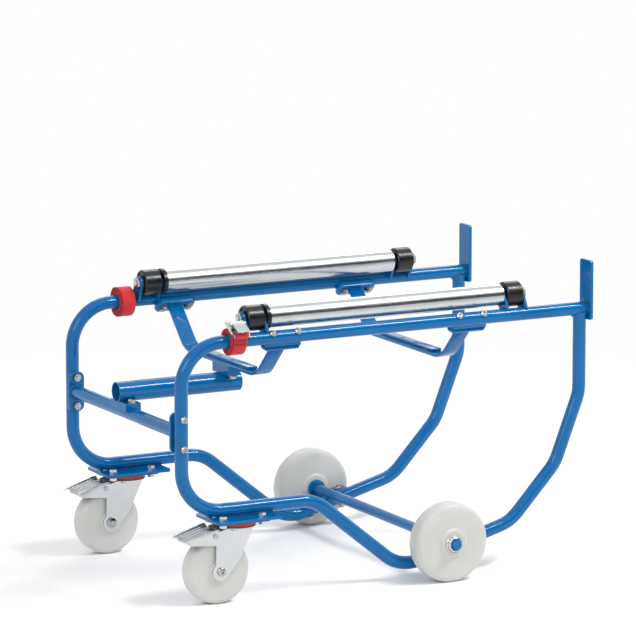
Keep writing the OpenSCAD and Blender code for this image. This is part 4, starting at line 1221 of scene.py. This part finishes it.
# %% [markdown]
# The middle of the frame. The lever socket sits in a saddle on the cross tube and hangs
# from a bracket under the front bearer, so it has two short seams at each. The stiffening
# strips on the bearers are only tacked at their ends, the bearers' arms are welded to their
# pads, and the axle is welded to its plates.

# %% Beads of the socket, the bearers and the axle
socket_r = 0.019
socket_z = 0.361
saddle_ends = (-0.4245, -0.3945)
saddle_z = 0.3435
bracket_ends = (bearer_x - 0.0125, bearer_x + 0.0125)
bracket_z = 0.377


def socket_seams(x_from, x_to, z):
    out = math.sqrt(socket_r ** 2 - (socket_z - z) ** 2) + 0.0007
    lift = 0.0006 if z < socket_z else -0.0006
    return [bead(along_x(x_from, x_to, way * out, z + lift), 0.0024) for way in (-1, 1)]


seam(
    "lever_socket",
    socket_seams(*saddle_ends, saddle_z) + socket_seams(*bracket_ends, bracket_z),
)

tack_gap = 0.0004
arm_seam = 0.0223
arm_half_w = 0.0140
for name in ("bearer_front", "bearer_rear"):
    middle = centre_of(name).x
    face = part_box(name)[0].z + 2 * bar_half_t + tack_gap
    strip_ends = (middle + strip_x[0], middle + strip_x[1])
    tacks = []
    for x in (strip_ends[0] - tack_gap, strip_ends[1] + tack_gap):
        for way in (-1, 1):
            tacks.append([Vector((x, way * 0.0915, face)), Vector((x, way * 0.066, face))])
    for way in (-1, 1):
        tacks.append(along_x(*strip_ends, way * 0.0925, face))
    # Arm to pad, on both faces of the bar, in a frame that is turned with the arm
    for side in (LEFT, RIGHT):
        for out in (-0.0034, 0.0034):
            inwards, up = turned([(arm_seam, out)], math.radians(-45))[0]
            place = (side * (rail_y - inwards), rail_z + up)
            tacks.append(along_x(middle - arm_half_w, middle + arm_half_w, *place))
    seam(name, [bead(t, 0.0019) for t in tacks])

rocker = math.radians(15.4)
under = 0.0058
seams = []
for side in (LEFT, RIGHT):
    for along in (-0.0090, 0.0090):
        x, z = turned([(along, -under)], rocker)[0]
        seams.append([
            Vector((axle_centre.x + x, side * y, axle_centre.z + z))
            for y in (rail_y - 0.0148, rail_y + 0.0140)
        ])
seam("axle", [bead(s, 0.0021) for s in seams])

# %% [markdown]
# The set. The floor is a wide pale sheet, and it keeps the soft shadow. Far from the object
# it turns to plain white, as a studio sweep does, by a round gradient in its own
# coordinates. The world is white to the camera, to gloss and to clear things, but only a
# mild grey light to everything else.

# %% Floor and world
deselect_all()
bpy.ops.mesh.primitive_plane_add(size=60.0, location=(0, 0, 0))
floor = bpy.context.object
floor.name = "floor"
f = Finish("studio_floor")
f.set(Roughness=0.9, Specular_IOR_Level=0.1)
f.set(Base_Color=f.ramp(f.noise(3.0, 2.0), [(0.3, "f4f4f4"), (0.7, "f8f8f8")]))
glow = f.add("ShaderNodeEmission", {"Color": (1, 1, 1, 1)})
blend = f.add("ShaderNodeMixShader", {
    "Fac": f.range(f.length(f.place), 0.0, 1.0, 0.9, 2.2),
    1: f.shader.outputs["BSDF"],
    2: glow.outputs["Emission"],
})
f.feed(f.tree.nodes["Material Output"].inputs["Surface"], blend.outputs["Shader"])
wear(floor, f.material)
floor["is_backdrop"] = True

soft_light = 0.72
world = bpy.data.worlds.new("studio")
bpy.context.scene.world = world
world.use_nodes = True
w = Nodes(world.node_tree)
rays = w.add("ShaderNodeLightPath").outputs
seen = w.math("MAXIMUM", rays["Is Camera Ray"], rays["Is Glossy Ray"])
seen = w.math("MAXIMUM", seen, rays["Is Transmission Ray"])
background = w.tree.nodes["Background"]
w.feed(background.inputs["Color"], (1, 1, 1, 1))
w.feed(background.inputs["Strength"], w.range(seen, soft_light, 1.0))

# %% [markdown]
# The lamps are three large soft boxes. The key hangs high on the camera's side, over the
# rear wheels, and gives the tubes their long highlights. The fill stands at the castor end
# and opens the shadows, and the back light draws the edges of the wheels and stops.

# %% Lamps
lit_point = Vector((0, 0, 0.3))


def soft_box(name, place, size, watts):
    data = bpy.data.lights.new(name, "AREA")
    data.shape = "RECTANGLE"
    data.size, data.size_y = size
    data.energy = watts
    aim(add_to_scene(name, data), place, lit_point - Vector(place))


soft_box("key", (1.7, -1.8, 3.4), (1.9, 0.42), 96)
soft_box("fill", (-2.6, -1.6, 2.0), (1.8, 1.2), 22)
soft_box("back", (1.2, 2.8, 2.6), (2.4, 0.8), 30)

# %% [markdown]
# The dark side of the studio. Beside a product camera the room is dark, and bright metal
# and gloss paint show that as the dark bands that make them look hard. A dark card stands
# there, which only reflections can see: it casts no shadow and takes no soft light away.

# %% Dark card
def dark_card(place, size):
    deselect_all()
    bpy.ops.mesh.primitive_plane_add(size=1.0)
    card = bpy.context.object
    card.name = "dark_card"
    way = (lit_point - Vector(place)).to_track_quat("Z", "Y").to_matrix()
    for vertex in card.data.vertices:
        x, y, z = vertex.co
        vertex.co = Vector(place) + way @ Vector((x * size[0], y * size[1], z))
    f = Finish("dark_card")
    f.set(Base_Color=(0.015, 0.016, 0.018, 1.0), Roughness=0.9, Specular_IOR_Level=0.0)
    wear(card, f.material)
    card.visible_camera = False
    card.visible_diffuse = False
    card.visible_shadow = False
    card.visible_transmission = False
    card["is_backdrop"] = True


dark_card((1.8, -3.4, 1.5), (4.4, 1.9))

# %% [markdown]
# The last cell prints the box of the finished model.

# %% Sizes and finish
low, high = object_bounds()
print("visual box", [round(v, 4) for v in low], [round(v, 4) for v in high])
